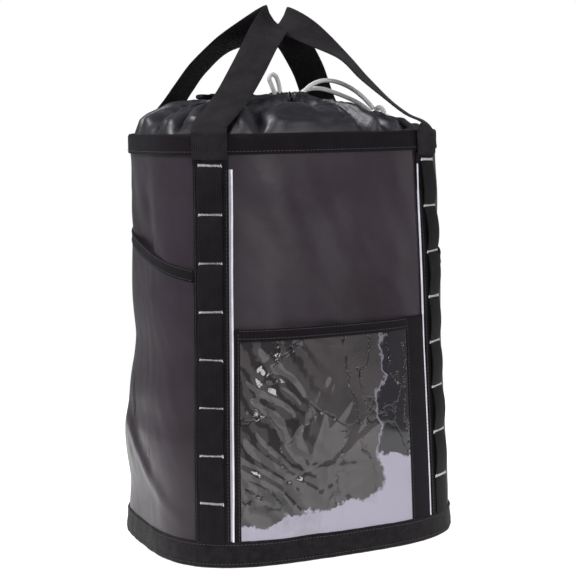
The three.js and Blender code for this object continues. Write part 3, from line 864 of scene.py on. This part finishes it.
def build_corner(corner):
    side = 1 if corner in ("front_left", "back_right") else -1
    heights = np.linspace(BAND_TOP - 3 * MM, HANDLE_START + 2 * MM, 130)
    strap = wall_strap(
        f"corner_webbing_{corner}_strap", corner, 0.0, WEBBING_WIDTH, heights, webbing_lift,
        STRAP_THICK, WEBBING, 0.3 * MM,
    )
    finish_piece(strap, "webbing", f"corner_webbing_{corner}")

    lift = loop_lift(corner)
    steps = np.linspace(BAND_TOP - 2 * MM, FIRST_TACK + 3 * MM, 230)
    loops = wall_strap(
        f"chain_loops_{corner}_strap", corner, 0.0, LOOP_WIDTH, steps, lift, 1.3 * MM, WEBBING, 1.2 * MM
    )
    finish_piece(loops, "webbing", f"chain_loops_{corner}")
    finish_piece(bartacks(corner, lift), "webbing")

    def aside(gap, height):
        return side * (WEBBING_WIDTH / 2 + gap) + sway(corner, height, PIPING_LEAN)

    piping_heights = np.linspace(BAND_TOP - 2 * MM, FIRST_TACK - 4 * MM, 110)
    tape = wall_strap(
        f"piping_tape_{corner}", corner, lambda height: aside(2.0 * MM, height), TAPE_WIDTH,
        piping_heights, 0.4 * MM, 0.8 * MM, PIPING_TAPE, leans=False,
    )
    finish_piece(tape, "reflective")
    bead = []
    for height in piping_heights:
        shake = 0.5 * MM * smooth_noise(height * 12, corner_seed(corner), 8)
        angle = walk(CORNERS[corner], aside(3.3 * MM, height) + shake, height)
        bead.append(place(angle, height, BEAD_LIFT))
    uvs = [[(turn * MM, height) for turn in range(8)] for height in piping_heights]
    cord = add_mesh(f"piping_{corner}_bead", *tube_mesh(thread_tube(bead, BEAD_RADIUS, 8), uvs), PIPING)
    finish_piece(cord, "reflective", f"piping_{corner}")

    for number, way in enumerate((-1, 1)):
        line, normals = [], []
        for height in np.linspace(BAND_TOP, RIM_BAND_BOTTOM - 14 * MM, 200):
            across = way * (WEBBING_WIDTH / 2 - STITCH_INSET) + sway(corner, height)
            angle = walk(CORNERS[corner], across, height)
            line.append(place(angle, height, webbing_lift(height) + STRAP_THICK + 0.05 * MM))
            normals.append(wall_normal(angle, height))
        sew(f"corner_stitches_{corner}_{number + 1}", line, normals, "webbing")


# ---- pockets ----

def wall_sheet(name, start, end, bottom, top, lift, thick, material, columns, rows):
    """A sheet of cloth on the wall between two sides and two edges, as in the frame's design."""
    across = np.linspace(0, 1, columns)
    outer, inner, uvs = [], [], []
    low = np.array([bottom(u) for u in across])
    high = np.array([top(u) for u in across])
    for share in np.linspace(0, 1, rows):
        heights = low + (high - low) * share
        first = np.array([start(h) for h in heights])
        last = np.array([end(h) for h in heights])
        angles = first + (last - first) * across
        stand = np.array([lift(u, h) for u, h in zip(across, heights)])
        outer.append(place(angles, heights, stand + thick))
        inner.append(place(angles, heights, stand))
        uvs.append(np.stack([travelled(outer[-1]), heights], axis=-1))
    return shell(name, np.array(outer), np.array(inner), np.array(uvs), material), outer


SEAM_OVERLAP = 1 * MM
POCKET_MOUTH_FRONT = 303 * MM
POCKET_MOUTH_REAR = 345 * MM
BINDING_THICK = 1.9 * MM


def build_pocket(side, front, back):
    is_left = side == "left"
    edge = WEBBING_WIDTH / 2 - SEAM_OVERLAP
    first, last = (back, front) if is_left else (front, back)

    def start(height):
        return float(walk(CORNERS[first], edge, height))

    def end(height):
        return float(walk(CORNERS[last], -edge, height)) + (FULL_TURN if is_left else 0)

    def mouth(u):
        rearward = 1 - u if is_left else u
        return POCKET_MOUTH_FRONT + (POCKET_MOUTH_REAR - POCKET_MOUTH_FRONT) * rearward

    def lift(u, height):
        across = sin(pi * clip01(u)) ** 0.7
        up = clip01((height - BAND_TOP) / (80 * MM))
        mouth_pull = 1 - 0.45 * exp(-(((mouth(u) - height) / (50 * MM)) ** 2))
        return (0.6 + 2.6 * across * sin(up * pi / 2) * mouth_pull) * MM

    def wrinkle(u, height):
        ease = sin(pi * u) ** 0.5 * min(1, (height - BAND_TOP) / (20 * MM))
        slack = 1.3 * smooth_noise(u * 4, height * 11, 21 + is_left)
        forward = u if is_left else 1 - u
        line = height - (0.035 + 0.14 * (1 - forward))
        crease = 2.2 * bump(line, 0, 0.009) * bump(forward, 0.62, 0.3)
        crease -= 1.4 * bump(line, 0.02, 0.014) * bump(forward, 0.6, 0.3)
        small = 0.5 * smooth_noise(u * 16 + height * 20, height * 30, 3)
        return (slack + crease + small) * ease * MM

    def loose_lift(u, height):
        return lift(u, height) + wrinkle(u, height)

    cloth, outer = wall_sheet(
        f"{side}_pocket_cloth", start, end, lambda u: BAND_TOP - 2 * MM, mouth, loose_lift, 1.0 * MM,
        COATED, 70, 90,
    )
    finish_piece(cloth, "coated_fabric", f"{side}_pocket")
    width = float(travelled(outer[45])[-1])

    def binding_lift(u, height):
        return lift(u, height) + wrinkle(u, mouth(u)) - 0.4 * MM

    binding, edge_points = wall_sheet(
        f"{side}_pocket_binding_tape", start, end, lambda u: mouth(u) - 1.5 * MM,
        lambda u: mouth(u) + 11.5 * MM, binding_lift, BINDING_THICK, BINDING, 70, 9,
    )
    finish_piece(binding, "binding", f"{side}_pocket_binding")
    for number, row in enumerate((1, 7)):
        sew_edge(f"{side}_pocket_stitches_{number + 1}", edge_points[row], "binding")


# ---- clear pocket ----

WINDOW_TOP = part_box("window_sheet")[1].z
WINDOW_LEFT = FRAME_EDGE + WINDOW_LEFT_BINDING
WINDOW_RIGHT = FRAME_EDGE + WINDOW_RIGHT_BINDING


def window_lift(u, height):
    across = sin(pi * clip01(u)) ** 0.4
    up = clip01((height - BAND_TOP) / (100 * MM))
    return (0.9 + 5.2 * across * sin(up * pi / 2)) * MM


def crumple_field(seed, count):
    """Random sharp folds of a stiff film: each is a ridge along a line, with a length and a width."""
    chance = random.Random(seed)
    folds = []
    for _ in range(count):
        x, y, way = chance.uniform(0, 1), chance.uniform(0, 1), chance.gauss(1.15, 0.55)
        length, width = chance.uniform(0.08, 0.42), chance.uniform(0.010, 0.032)
        folds.append((x, y, cos(way), sin(way), length, width, chance.uniform(-1.0, 1.0)))
    return folds


FOLDS = crumple_field(5, 46)


def film_wrinkle(u, height):
    """Crinkles of the clear film: broad buckles on the left, sharp folds through the middle."""
    v = (height - BAND_TOP) / (WINDOW_TOP - BAND_TOP)
    ease = min(1, 12 * u, 12 * (1 - u), 12 * max(v, 0), 8 * max(1 - v, 0) + 0.3)
    drift = smooth_noise(u * 3, v * 3, 6.1)
    leftness = clip01(2.4 - 5.2 * u - 0.8 * drift)
    broad = 1.3 * smooth_noise(u * 2.6 + 0.6 * v, v * 1.6 - u, 2.4)
    slant = u * 1.25 + v * 0.9 + 0.16 * drift
    long_waves = 1.5 * leftness * sin(tau * slant / 0.27) * (0.55 + 0.45 * drift)
    long_waves += 0.5 * leftness * sin(tau * slant / 0.11 + 6 * drift)
    middle = bump(u, 0.48, 0.22)
    sharp = 0.0
    for x, y, way_x, way_y, length, width, high in FOLDS:
        dx, dy = u - x, (v - y) * 1.05
        reach = 1 - ((dx * way_x + dy * way_y) / length) ** 2
        if reach > 0:
            aside = abs(dy * way_x - dx * way_y) / (width * (0.5 + reach))
            sharp += high * reach * max(0.0, 1 - aside)
    return (broad + long_waves + 1.6 * sharp * max(middle, leftness)) * ease * MM


def build_window():
    def start(height):
        return float(walk(CORNERS["front_left"], WINDOW_LEFT - 1 * MM, height))

    def end(height):
        return float(walk(CORNERS["front_right"], -WINDOW_RIGHT + 1 * MM, height))

    def film_lift(u, height):
        return window_lift(u, height) + film_wrinkle(u, height)

    film, outer = wall_sheet(
        "window_film", start, end, lambda u: BAND_TOP - 2 * MM, lambda u: WINDOW_TOP + 1 * MM,
        film_lift, 0.5 * MM, FILM, 150, 160,
    )
    finish_piece(film, "clear_window", "window_sheet")
    width = float(travelled(outer[80])[-1])

    def top_lift(u, height):
        return window_lift(u, height) + 0.7 * MM * smooth_noise(u * 5, height * 20, 8.8)

    top, rows = wall_sheet(
        "window_top_tape", start, end, lambda u: WINDOW_TOP - 1 * MM, lambda u: WINDOW_TOP + 12 * MM,
        top_lift, BINDING_THICK, BINDING, 90, 9,
    )
    finish_piece(top, "binding", "window_top_binding")
    for number, row in enumerate((2, 7)):
        sew_edge(f"window_top_stitches_{number + 1}", rows[row], "binding")

    heights = np.linspace(BAND_TOP - 2 * MM, WINDOW_TOP + 12.3 * MM, 70)
    for side, centre, width, thick in (
        ("left", FRAME_EDGE + WINDOW_LEFT_BINDING / 2, WINDOW_LEFT_BINDING + 1 * MM, 1.6 * MM),
        ("right", -FRAME_EDGE - WINDOW_RIGHT_BINDING / 2, WINDOW_RIGHT_BINDING, 1.7 * MM),
    ):
        tape = wall_strap(
            f"window_{side}_tape", f"front_{side}", centre, width, heights, 0.4 * MM, thick, BINDING,
            0.5 * MM, leans=False,
        )
        finish_piece(tape, "binding", f"window_{side}_binding")
    rows = (
        ("front_left", FRAME_EDGE + 4.6 * MM),
        ("front_right", -FRAME_EDGE - WINDOW_RIGHT_BINDING + 2.4 * MM),
        ("front_right", -FRAME_EDGE - 2.2 * MM),
    )
    for number, (corner, across) in enumerate(rows):
        angles = np.array([float(walk(CORNERS[corner], across, h)) for h in heights])
        line = place(angles, heights, 2.1 * MM)
        sew(f"window_side_stitches_{number + 1}", line, wall_normal(angles, heights), "binding")


# ---- hood ----

THROAT = Vector((8 * MM, 0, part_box("hood_hem")[0].z))
HOOD_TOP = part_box("hood")[1].z


HOOD_EDGE_INSIDE = 4.4 * MM
HOOD_START = RIM_HEIGHT - 2 * MM
SKIRT_BOTTOM = 437 * MM
THROAT_RADIUS = 21 * MM
HEM_RADIUS = 17 * MM


def hood_shape(inward, angle):
    """The middle shape of the hood: a share of the way in from the rim to the throat."""
    dome = (1 - (1 - inward) ** 2.5) ** 0.8
    sag = 16 * MM * max(0.0, cos(angle)) * 4 * inward * (1 - inward)
    height = HOOD_START + (HOOD_TOP - HOOD_START) * dome - sag
    edge = wall(angle, RIM_HEIGHT, -HOOD_EDGE_INSIDE)
    x = edge[0] + (THROAT.x + THROAT_RADIUS * cos(angle) - edge[0]) * inward
    y = edge[1] + (THROAT_RADIUS * sin(angle) - edge[1]) * inward
    return Vector((x, y, height))


def hood_folds(inward, angle):
    """Puffs between sharp creases that run to the throat: wide at the rim, fine at the cord."""
    turned = angle + 0.42 * ring_noise(angle, 1.7, inward * 1.5)
    from_rim = min(inward / 0.08, 1.0)
    wide = 18.0 * abs(sin(8.5 * turned)) ** 0.75 * (1 - 0.66 * inward)
    middling = 11.0 * abs(sin(14 * turned + 0.9)) ** 0.8 * inward**0.4 * (1.2 - inward)
    fine = 5.0 * abs(sin(27 * turned)) ** 0.8 * inward
    lumps = 8.0 * ring_noise(angle, 3.0, inward * 4.0 + 5) * sin(pi * inward) ** 0.6
    crumple = 4.0 * abs(ring_noise(angle, 8.0, inward * 9.0 + 2)) * sin(pi * inward) ** 0.4
    knot_dip = 15.0 * bump(turn_between(angle, -0.36), 0, 0.5) * bump(inward, 0.34, 0.3)
    return ((wide + middling + fine + lumps - crumple - 10.0) * from_rim - knot_dip) * MM


def hood_mesh():
    rows, columns = 70, 420
    skirt = 6
    points = np.zeros((rows + skirt, columns, 3))
    angles = np.linspace(-pi, pi, columns, endpoint=False)
    for column, angle in enumerate(angles):
        edge = wall(angle, RIM_HEIGHT, -HOOD_EDGE_INSIDE)
        for row in range(skirt):
            height = SKIRT_BOTTOM + (HOOD_START - SKIRT_BOTTOM) * row / skirt
            points[row, column] = (edge[0], edge[1], height)
        for row in range(rows):
            inward = (row / (rows - 1)) ** 0.9
            middle = hood_shape(inward, angle)
            ahead = hood_shape(min(inward + 0.01, 1.0), angle) - hood_shape(max(inward - 0.01, 0.0), angle)
            side = Vector((-sin(angle), cos(angle), 0))
            normal = side.cross(ahead).normalized()
            if normal.z < 0:
                normal = -normal
            points[skirt + row, column] = middle + normal * hood_folds(inward, angle)
    return points


def grid_normals(points):
    """Normals of a grid that closes on itself along its columns."""
    along = np.roll(points, -1, axis=1) - np.roll(points, 1, axis=1)
    up = np.gradient(points, axis=0)
    normals = np.cross(along, up)
    return normals / np.maximum(np.linalg.norm(normals, axis=-1, keepdims=True), 1e-12)


def closed_shell(name, outer, thick, uvs, material):
    """A thin solid from a grid that closes along its columns, open at its first and last rows."""
    inner = outer - grid_normals(outer) * thick
    loops = np.concatenate([outer, inner[::-1]])
    both = np.concatenate([uvs, uvs[::-1]])
    return add_mesh(name, *tube_mesh(loops, both, closed_length=True), material)


def build_hood():
    points = hood_mesh()
    columns = points.shape[1]
    run = np.arange(columns) / columns * 0.97
    down = travelled(points[:, 0])
    uvs = np.stack(np.meshgrid(run, down), axis=-1)
    cloth = closed_shell("hood_cloth", points, HOOD_CLOTH, uvs, HOOD)
    finish_piece(cloth, "hood_fabric", "hood")

    rows, steps = 26, 300
    hem = np.zeros((rows, steps, 3))
    for column in range(steps):
        angle = tau * column / steps - pi
        pleat = 1.5 * sin(19 * angle + 1.3) + 0.9 * sin(31 * angle)
        pleat += 1.6 * ring_noise(angle, 4, 1.1)
        for row in range(rows):
            turn = pi * (0.02 + 1.5 * row / (rows - 1))
            radius = HEM_RADIUS + 6.2 * MM * cos(turn) + pleat * MM * (0.6 + 0.6 * sin(turn / 1.5))
            lump = 2.2 * MM * ring_noise(angle, 7, 4.0)
            height = THROAT.z + 3.5 * MM + (6.5 * MM + lump) * sin(turn)
            hem[row, column] = (
                THROAT.x + radius * cos(angle), radius * sin(angle), height
            )
    run = np.arange(steps) / steps * 0.4
    uvs = np.stack(np.meshgrid(run, np.linspace(0, 0.03, rows)), axis=-1)
    piece = closed_shell("hood_hem_cloth", hem, HOOD_CLOTH, uvs, HOOD)
    finish_piece(piece, "hood_fabric", "hood_hem")


TAB_INWARD = 3 * MM
TAB_LOWER = 3.5 * MM
TAB_TAPE = 2.5 * MM
TAB_FIRST_LAYER = 1.3 * MM
TAB_FOLD_BULGE = 1.2 * MM


def build_tab():
    """A tape folded back on itself, which lies along the slope of the hood."""
    low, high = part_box("hood_pull_tab")
    length = high.x - low.x
    tilt = atan2(high.z - low.z - 5 * MM, length)
    path = [(-length * share, TAB_FIRST_LAYER) for share in np.linspace(0, 1, 16)]
    for turn in np.linspace(0, pi, 7)[1:-1]:
        rise = TAB_TAPE * (1 - cos(turn)) / 2
        path.append((-length - TAB_FOLD_BULGE * sin(turn), TAB_FIRST_LAYER + rise))
    path += [(-length * share, TAB_FIRST_LAYER + TAB_TAPE) for share in np.linspace(1, 0, 16)]
    path = [Vector((x, 0, z)) for x, z in path]
    section = strap_section(high.y - low.y, TAB_TAPE)
    lean = Quaternion((0, 1, 0), tilt)
    foot = Vector((high.x - TAB_INWARD, (low.y + high.y) / 2, low.z - TAB_LOWER))
    loops, uvs = [], []
    for index, (point, travel) in enumerate(zip(path, travelled(path))):
        ahead = (path[min(index + 1, len(path) - 1)] - path[max(index - 1, 0)]).normalized()
        up = Vector((0, 1, 0)).cross(ahead)
        flat = [point + Vector((0, across, 0)) + up * (TAB_TAPE / 2 - rise) for across, rise in section]
        loops.append([foot + lean @ at for at in flat])
        uvs.append([(s, travel) for s in travelled(section)])
    tab = add_mesh("pull_tab_tape", *tube_mesh(loops, uvs), WEBBING)
    finish_piece(tab, "webbing", "hood_pull_tab", body="pull_tab")


# ---- drawcord ----

CORD_DIAMETER = 5 * MM
KNOT_LOWER = 2 * MM
KNOT_CORD_RADIUS = 2.6 * MM
TAIL_RADIUS = 2.2 * MM
UPPER_STRAND = [
    (19, -9.5, 494), (24.5, -12, 501.6), (33, -14, 508), (44, -16, 511.5), (57, -18, 510.8), (70, -19, 506.6),
    (83, -20, 499.6), (95, -21, 490), (105.5, -21, 479.5),
]
LOWER_STRAND = [
    (20, -3, 494), (26, -4.4, 500.4), (36, -6, 503), (48, -9, 502), (61, -12, 498), (74, -15, 492.8),
    (87, -17.5, 486.6), (98, -19, 479.4), (104, -20, 473.8),
]
BIGHT = [
    (-10, -7.6, 494), (-14, -9, 501.6), (-17.4, -9.6, 509), (-19.4, -10, 514.6), (-16.6, -10.4, 519),
    (-11.4, -10.4, 516.6), (-8.4, -10, 510), (-6.6, -9.4, 502), (-6.2, -9.2, 494),
]


def spline(points, per_span=6):
    """A smooth line through points, with even parameters."""
    points = np.asarray(points, float)
    padded = np.concatenate([[2 * points[0] - points[1]], points, [2 * points[-1] - points[-2]]])
    line = []
    for i in range(1, len(padded) - 2):
        p0, p1, p2, p3 = padded[i - 1 : i + 3]
        for step in range(per_span):
            t = step / per_span
            line.append(
                0.5 * (2 * p1 + (p2 - p0) * t + (2 * p0 - 5 * p1 + 4 * p2 - p3) * t**2
                       + (3 * p1 - p0 - 3 * p2 + p3) * t**3)
            )
    line.append(padded[-2])
    return np.array(line)


def cord_tube(points, radius=CORD_DIAMETER / 2, per_span=6):
    line = spline(points, per_span)
    loops = thread_tube(line, radius, 12)
    travel = travelled(line)
    turn = np.arange(12) / 12 * tau * radius
    uvs = [[(t, s) for t in turn] for s in travel]
    return tube_mesh(loops, uvs), line


def build_cord():
    knot_low, knot_high = (np.array(corner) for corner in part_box("drawcord_knot"))
    centre = (knot_low + knot_high) / 2 - np.array([0, 0, KNOT_LOWER])
    wraps = []
    for t in np.linspace(0, tau, 41):
        radial = 5.3 + 2.1 * cos(3 * t)
        wrap = (2.6 * sin(3 * t) + 0.4, radial * cos(2 * t), radial * sin(2 * t))
        wraps.append(centre + np.array(wrap) * MM)
    wraps[-1] = wraps[0]
    parts = [cord_tube(wraps, KNOT_CORD_RADIUS, 3)[0]]
    tails = (
        [(2, 2, 0), (7, 0, -1.5), (11, -2.5, -4.5), (14, -4.5, -7.5)],
        [(2, -3, -1), (6, -6, -2.5), (8.5, -9.5, -5), (10, -12, -7.5)],
    )
    for tail in tails:
        parts.append(cord_tube(centre + np.array(tail) * MM, TAIL_RADIUS)[0])
    knot = add_mesh("drawcord_knot_tied", *joined(parts), CORD)
    finish_piece(knot, "cord", "drawcord_knot")

    for name, route, end, pieces in (
        ("drawcord_strand_upper", UPPER_STRAND, "knot", [knot]),
        ("drawcord_strand_lower", LOWER_STRAND, "knot", [knot]),
        ("drawcord_loop", BIGHT, "object", []),
    ):
        shape, line = cord_tube(np.array(route) * MM)
        piece = add_mesh(name + "_cord", *shape, CORD)
        finish_piece(piece, "cord", name)
        tuple(line[0])
        round(float(travelled(line)[-1]), 3)


# ---- handles ----

LEFT_HANDLE = [
    (-131.2, -105.4, 457.2), (-128, -101, 465), (-114, -95, 477), (-94, -85, 496), (-69, -66, 523),
    (-43, -42, 551), (-18, -12, 571), (-8, 4, 579), (-21, 28, 569.5), (-47, 60, 553),
    (-68, 80, 529.5), (-82, 90, 508), (-95, 98, 487), (-111, 106, 466), (-116.4, 114.6, 457.2),
]
RIGHT_HANDLE = [
    (-124.2, -109.8, 457.2), (-120.5, -106, 464.5), (-105, -99, 473), (-88.5, -88.5, 488),
    (-70.5, -69, 511), (-55, -44, 537), (-27, -6, 565.5), (-12, 24, 579), (-25, 39, 570),
    (-42, 51, 554), (-69, 75, 528), (-84, 88, 506), (-98, 98, 484), (-111, 106, 466),
    (-116.4, 114.6, 457.2),
]
FRONT_FOOT_AXIS = (0.807, -0.59, 0)
REAR_FOOT_AXIS = (0.893, 0.45, 0)
APEX_AXIS = (0.62, 0, -0.78)
LEFT_AXES = [
    (0, FRONT_FOOT_AXIS), (0.1, FRONT_FOOT_AXIS), (0.36, (0.72, -0.6, -0.34)), (0.5, APEX_AXIS),
    (0.66, (0.68, 0.66, -0.32)), (0.93, REAR_FOOT_AXIS), (1, REAR_FOOT_AXIS),
]
RIGHT_AXES = [
    (0, (0.75, -0.66, 0)), (0.05, (0.6, -0.8, 0)), (0.2, (0.6, -0.8, 0.03)),
    (0.33, (0.66, -0.75, -0.08)), (0.5, APEX_AXIS), (0.66, (0.72, 0.6, -0.34)),
    (0.93, REAR_FOOT_AXIS), (1, REAR_FOOT_AXIS),
]
FOLD_AT = 0.5
FOLD_SPAN = 0.085
FOLD_RADIUS = 42 * MM
FOOT_OUT = 131 * MM
BEND_FROM = 454 * MM
BEND_TO = 468 * MM


def width_axis(axes, share):
    """The direction across the webbing at a share of the handle's middle line."""
    ahead = next(k for k in range(1, len(axes)) if axes[k][0] >= share)
    (start, low), (end, high) = axes[ahead - 1], axes[ahead]
    part = (share - start) / (end - start)
    part = part * part * (3 - 2 * part)
    axis = np.array(low) * (1 - part) + np.array(high) * part
    return axis / np.linalg.norm(axis)


def foot_frames(corner, heights):
    """Places where a handle's end lies on the corner, with the direction across it."""
    frames = []
    for height in heights:
        angle = float(walk(CORNERS[corner], sway(corner, height), height))
        centre = place(angle, height, webbing_lift(height) + STRAP_THICK / 2 + 0.1 * MM)
        outward = wall_normal(angle, height)
        frames.append((centre, np.cross(outward, [0, 0, 1.0])))
    return frames


def build_handle(side, route, axes):
    sense = 1 if side == "left" else -1
    mirror = np.array([sense, 1, 1])
    arch = []
    for index, point in enumerate(route):
        share = index / (len(route) - 1)
        arch.append((np.array(point) * MM * mirror, width_axis(axes, share) * mirror))
    up = np.array([429, 434, 439, 445, 451]) * MM
    frames = foot_frames(f"front_{side}", up) + arch + foot_frames(f"back_{side}", up[::-1])
    for index, (centre, across) in enumerate(frames):
        if index and np.dot(across, frames[index - 1][1]) < 0:
            frames[index] = (centre, -across)
    centres, acrosses = (spline(values, per_span=9) for values in zip(*frames))
    ahead = np.gradient(centres, axis=0)
    ahead /= np.linalg.norm(ahead, axis=1, keepdims=True)
    section = strap_section(WEBBING_WIDTH, STRAP_THICK, 0.05, 13)
    lengths = travelled(section)
    travel = travelled(centres)
    loops, uvs = [], []
    for index, centre in enumerate(centres):
        way = ahead[index]
        across = acrosses[index] - way * np.dot(acrosses[index], way)
        across /= np.linalg.norm(across)
        outward = np.cross(across, way)
        ripple = 0.5 * MM * smooth_noise(travel[index] * 22, 3.3 if side == "left" else 9.1, 0)
        curl = bump(travel[index] / travel[-1], FOLD_AT, FOLD_SPAN) / FOLD_RADIUS
        loop = []
        for s, rise in section:
            turn = s * curl
            aside = sin(turn) / curl if curl > 1e-3 else s
            bow = (cos(turn) - 1) / curl if curl > 1e-3 else 0.0
            stand = rise - STRAP_THICK / 2 + ripple * s / WEBBING_WIDTH
            way_up = outward * cos(turn) + across * sin(turn)
            loop.append(centre + across * aside + outward * bow + way_up * stand)
        loops.append(loop)
        uvs.append([(length, travel[index]) for length in lengths])
    strap = add_mesh(f"handle_{side}_strap", *tube_mesh(loops, uvs), HANDLE_WEBBING)
    x = sense * -FOOT_OUT
    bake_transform(strap, "root", f"handle_{side}", start=(x, 0, BEND_FROM), end=(x, 0, BEND_TO))
    finish_piece(strap, "webbing", f"handle_{side}", body=f"handle_{side}")


# ---- carried over pieces ----

def dress_frame_nodes():
    for name, material in (("base_board", STIFFENER), ("rim_hoop", STIFFENER), ("drawcord_in_hem", CORD)):
        materials = bpy.data.objects[name].data.materials
        materials.clear()
        materials.append(material)


# ---- camera, floor and light ----

ROOM_LIGHT = 0.29
FLOOR_GLOW = 0.95
FLOOR_RADIUS = 0.85
FLOOR_SIDES = 96
FLOOR_DROP = 0.8 * MM
LAMPS = (
    ("left_softbox", (-1.7, -1.9, 2.5), 0.8, 1.0, 30),
    ("front_softbox", (0.2, -2.6, 1.05), 0.9, 0.9, 24),
    ("right_softbox", (2.4, -1.2, 1.1), 0.3, 1.8, 12),
    ("top_softbox", (-1.3, 0.2, 2.0), 0.7, 0.7, 38),
)
LAMPS_AIM = Vector((0, 0, 0.3))


def build_camera():
    turn = radians(-24.588)
    away, height = 1.6665, 0.4738
    pitch, roll = radians(6.721), radians(-0.92)
    camera = bpy.data.cameras.new("camera")
    camera.sensor_width = 36
    camera.lens = 91.77
    camera.shift_x = 0.0058
    eye = add_object("camera", camera)
    eye.location = (sin(turn) * away, -cos(turn) * away, height)
    forward = Vector((-sin(turn), cos(turn), 0))
    look = forward * cos(pitch) - Vector((0, 0, 1)) * sin(pitch)
    eye.rotation_mode = "QUATERNION"
    aim = look.to_track_quat("-Z", "Y")
    eye.rotation_quaternion = aim @ Quaternion((0, 0, 1), roll)
    bpy.context.scene.camera = eye


def build_light():
    """A white studio: the room lights the bag softly but shows pure white behind it."""
    scene = bpy.context.scene
    scene.view_settings.view_transform = "Standard"
    world = bpy.data.worlds.new("world")
    scene.world = world
    world.use_nodes = True
    tree = world.node_tree
    room = tree.nodes["Background"]
    room.inputs[0].default_value = (0.92, 0.95, 1.0, 1)
    room.inputs[1].default_value = ROOM_LIGHT
    seen, path, both = (
        tree.nodes.new("ShaderNode" + kind) for kind in ("Background", "LightPath", "MixShader")
    )
    seen.inputs[0].default_value = (1, 1, 1, 1)
    sources = (path.outputs["Is Camera Ray"], room.outputs[0], seen.outputs[0])
    for source, target in zip(sources, both.inputs):
        tree.links.new(source, target)
    tree.links.new(both.outputs[0], tree.nodes["World Output"].inputs[0])

    turns = np.linspace(0, tau, FLOOR_SIDES, endpoint=False)
    outline = [(FLOOR_RADIUS * cos(t), FLOOR_RADIUS * sin(t), 0) for t in turns]
    floor_mesh = bpy.data.meshes.new("floor")
    floor_mesh.from_pydata(outline, [], [tuple(range(FLOOR_SIDES))])
    n = Nodes("floor")
    n.set(rough=0.9, spec=0.0)
    n.shader.inputs["Base Color"].default_value = (0.5, 0.5, 0.5, 1)
    n.shader.inputs["Emission Color"].default_value = (1, 1, 1, 1)
    n.shader.inputs["Emission Strength"].default_value = FLOOR_GLOW
    floor_mesh.materials.append(n.material)
    floor = add_object("floor", floor_mesh)
    floor.location.z = -FLOOR_DROP

    for name, where, width, height, power in LAMPS:
        lamp = bpy.data.lights.new(name, "AREA")
        lamp.shape = "RECTANGLE"
        lamp.size = width
        lamp.size_y = height
        lamp.energy = power
        holder = add_object(name, lamp)
        holder.location = where
        aim = LAMPS_AIM - Vector(where)
        holder.rotation_mode = "QUATERNION"
        holder.rotation_quaternion = aim.to_track_quat("-Z", "Y")


build_camera()
build_light()
build_cord()
build_panels()
build_base()
build_rim()
for corner_name in CORNERS:
    build_corner(corner_name)
build_pocket("left", "front_left", "back_left")
build_pocket("right", "front_right", "back_right")
build_window()
build_hood()
build_tab()
build_handle("left", LEFT_HANDLE, LEFT_AXES)
build_handle("right", RIGHT_HANDLE, RIGHT_AXES)
dress_frame_nodes()
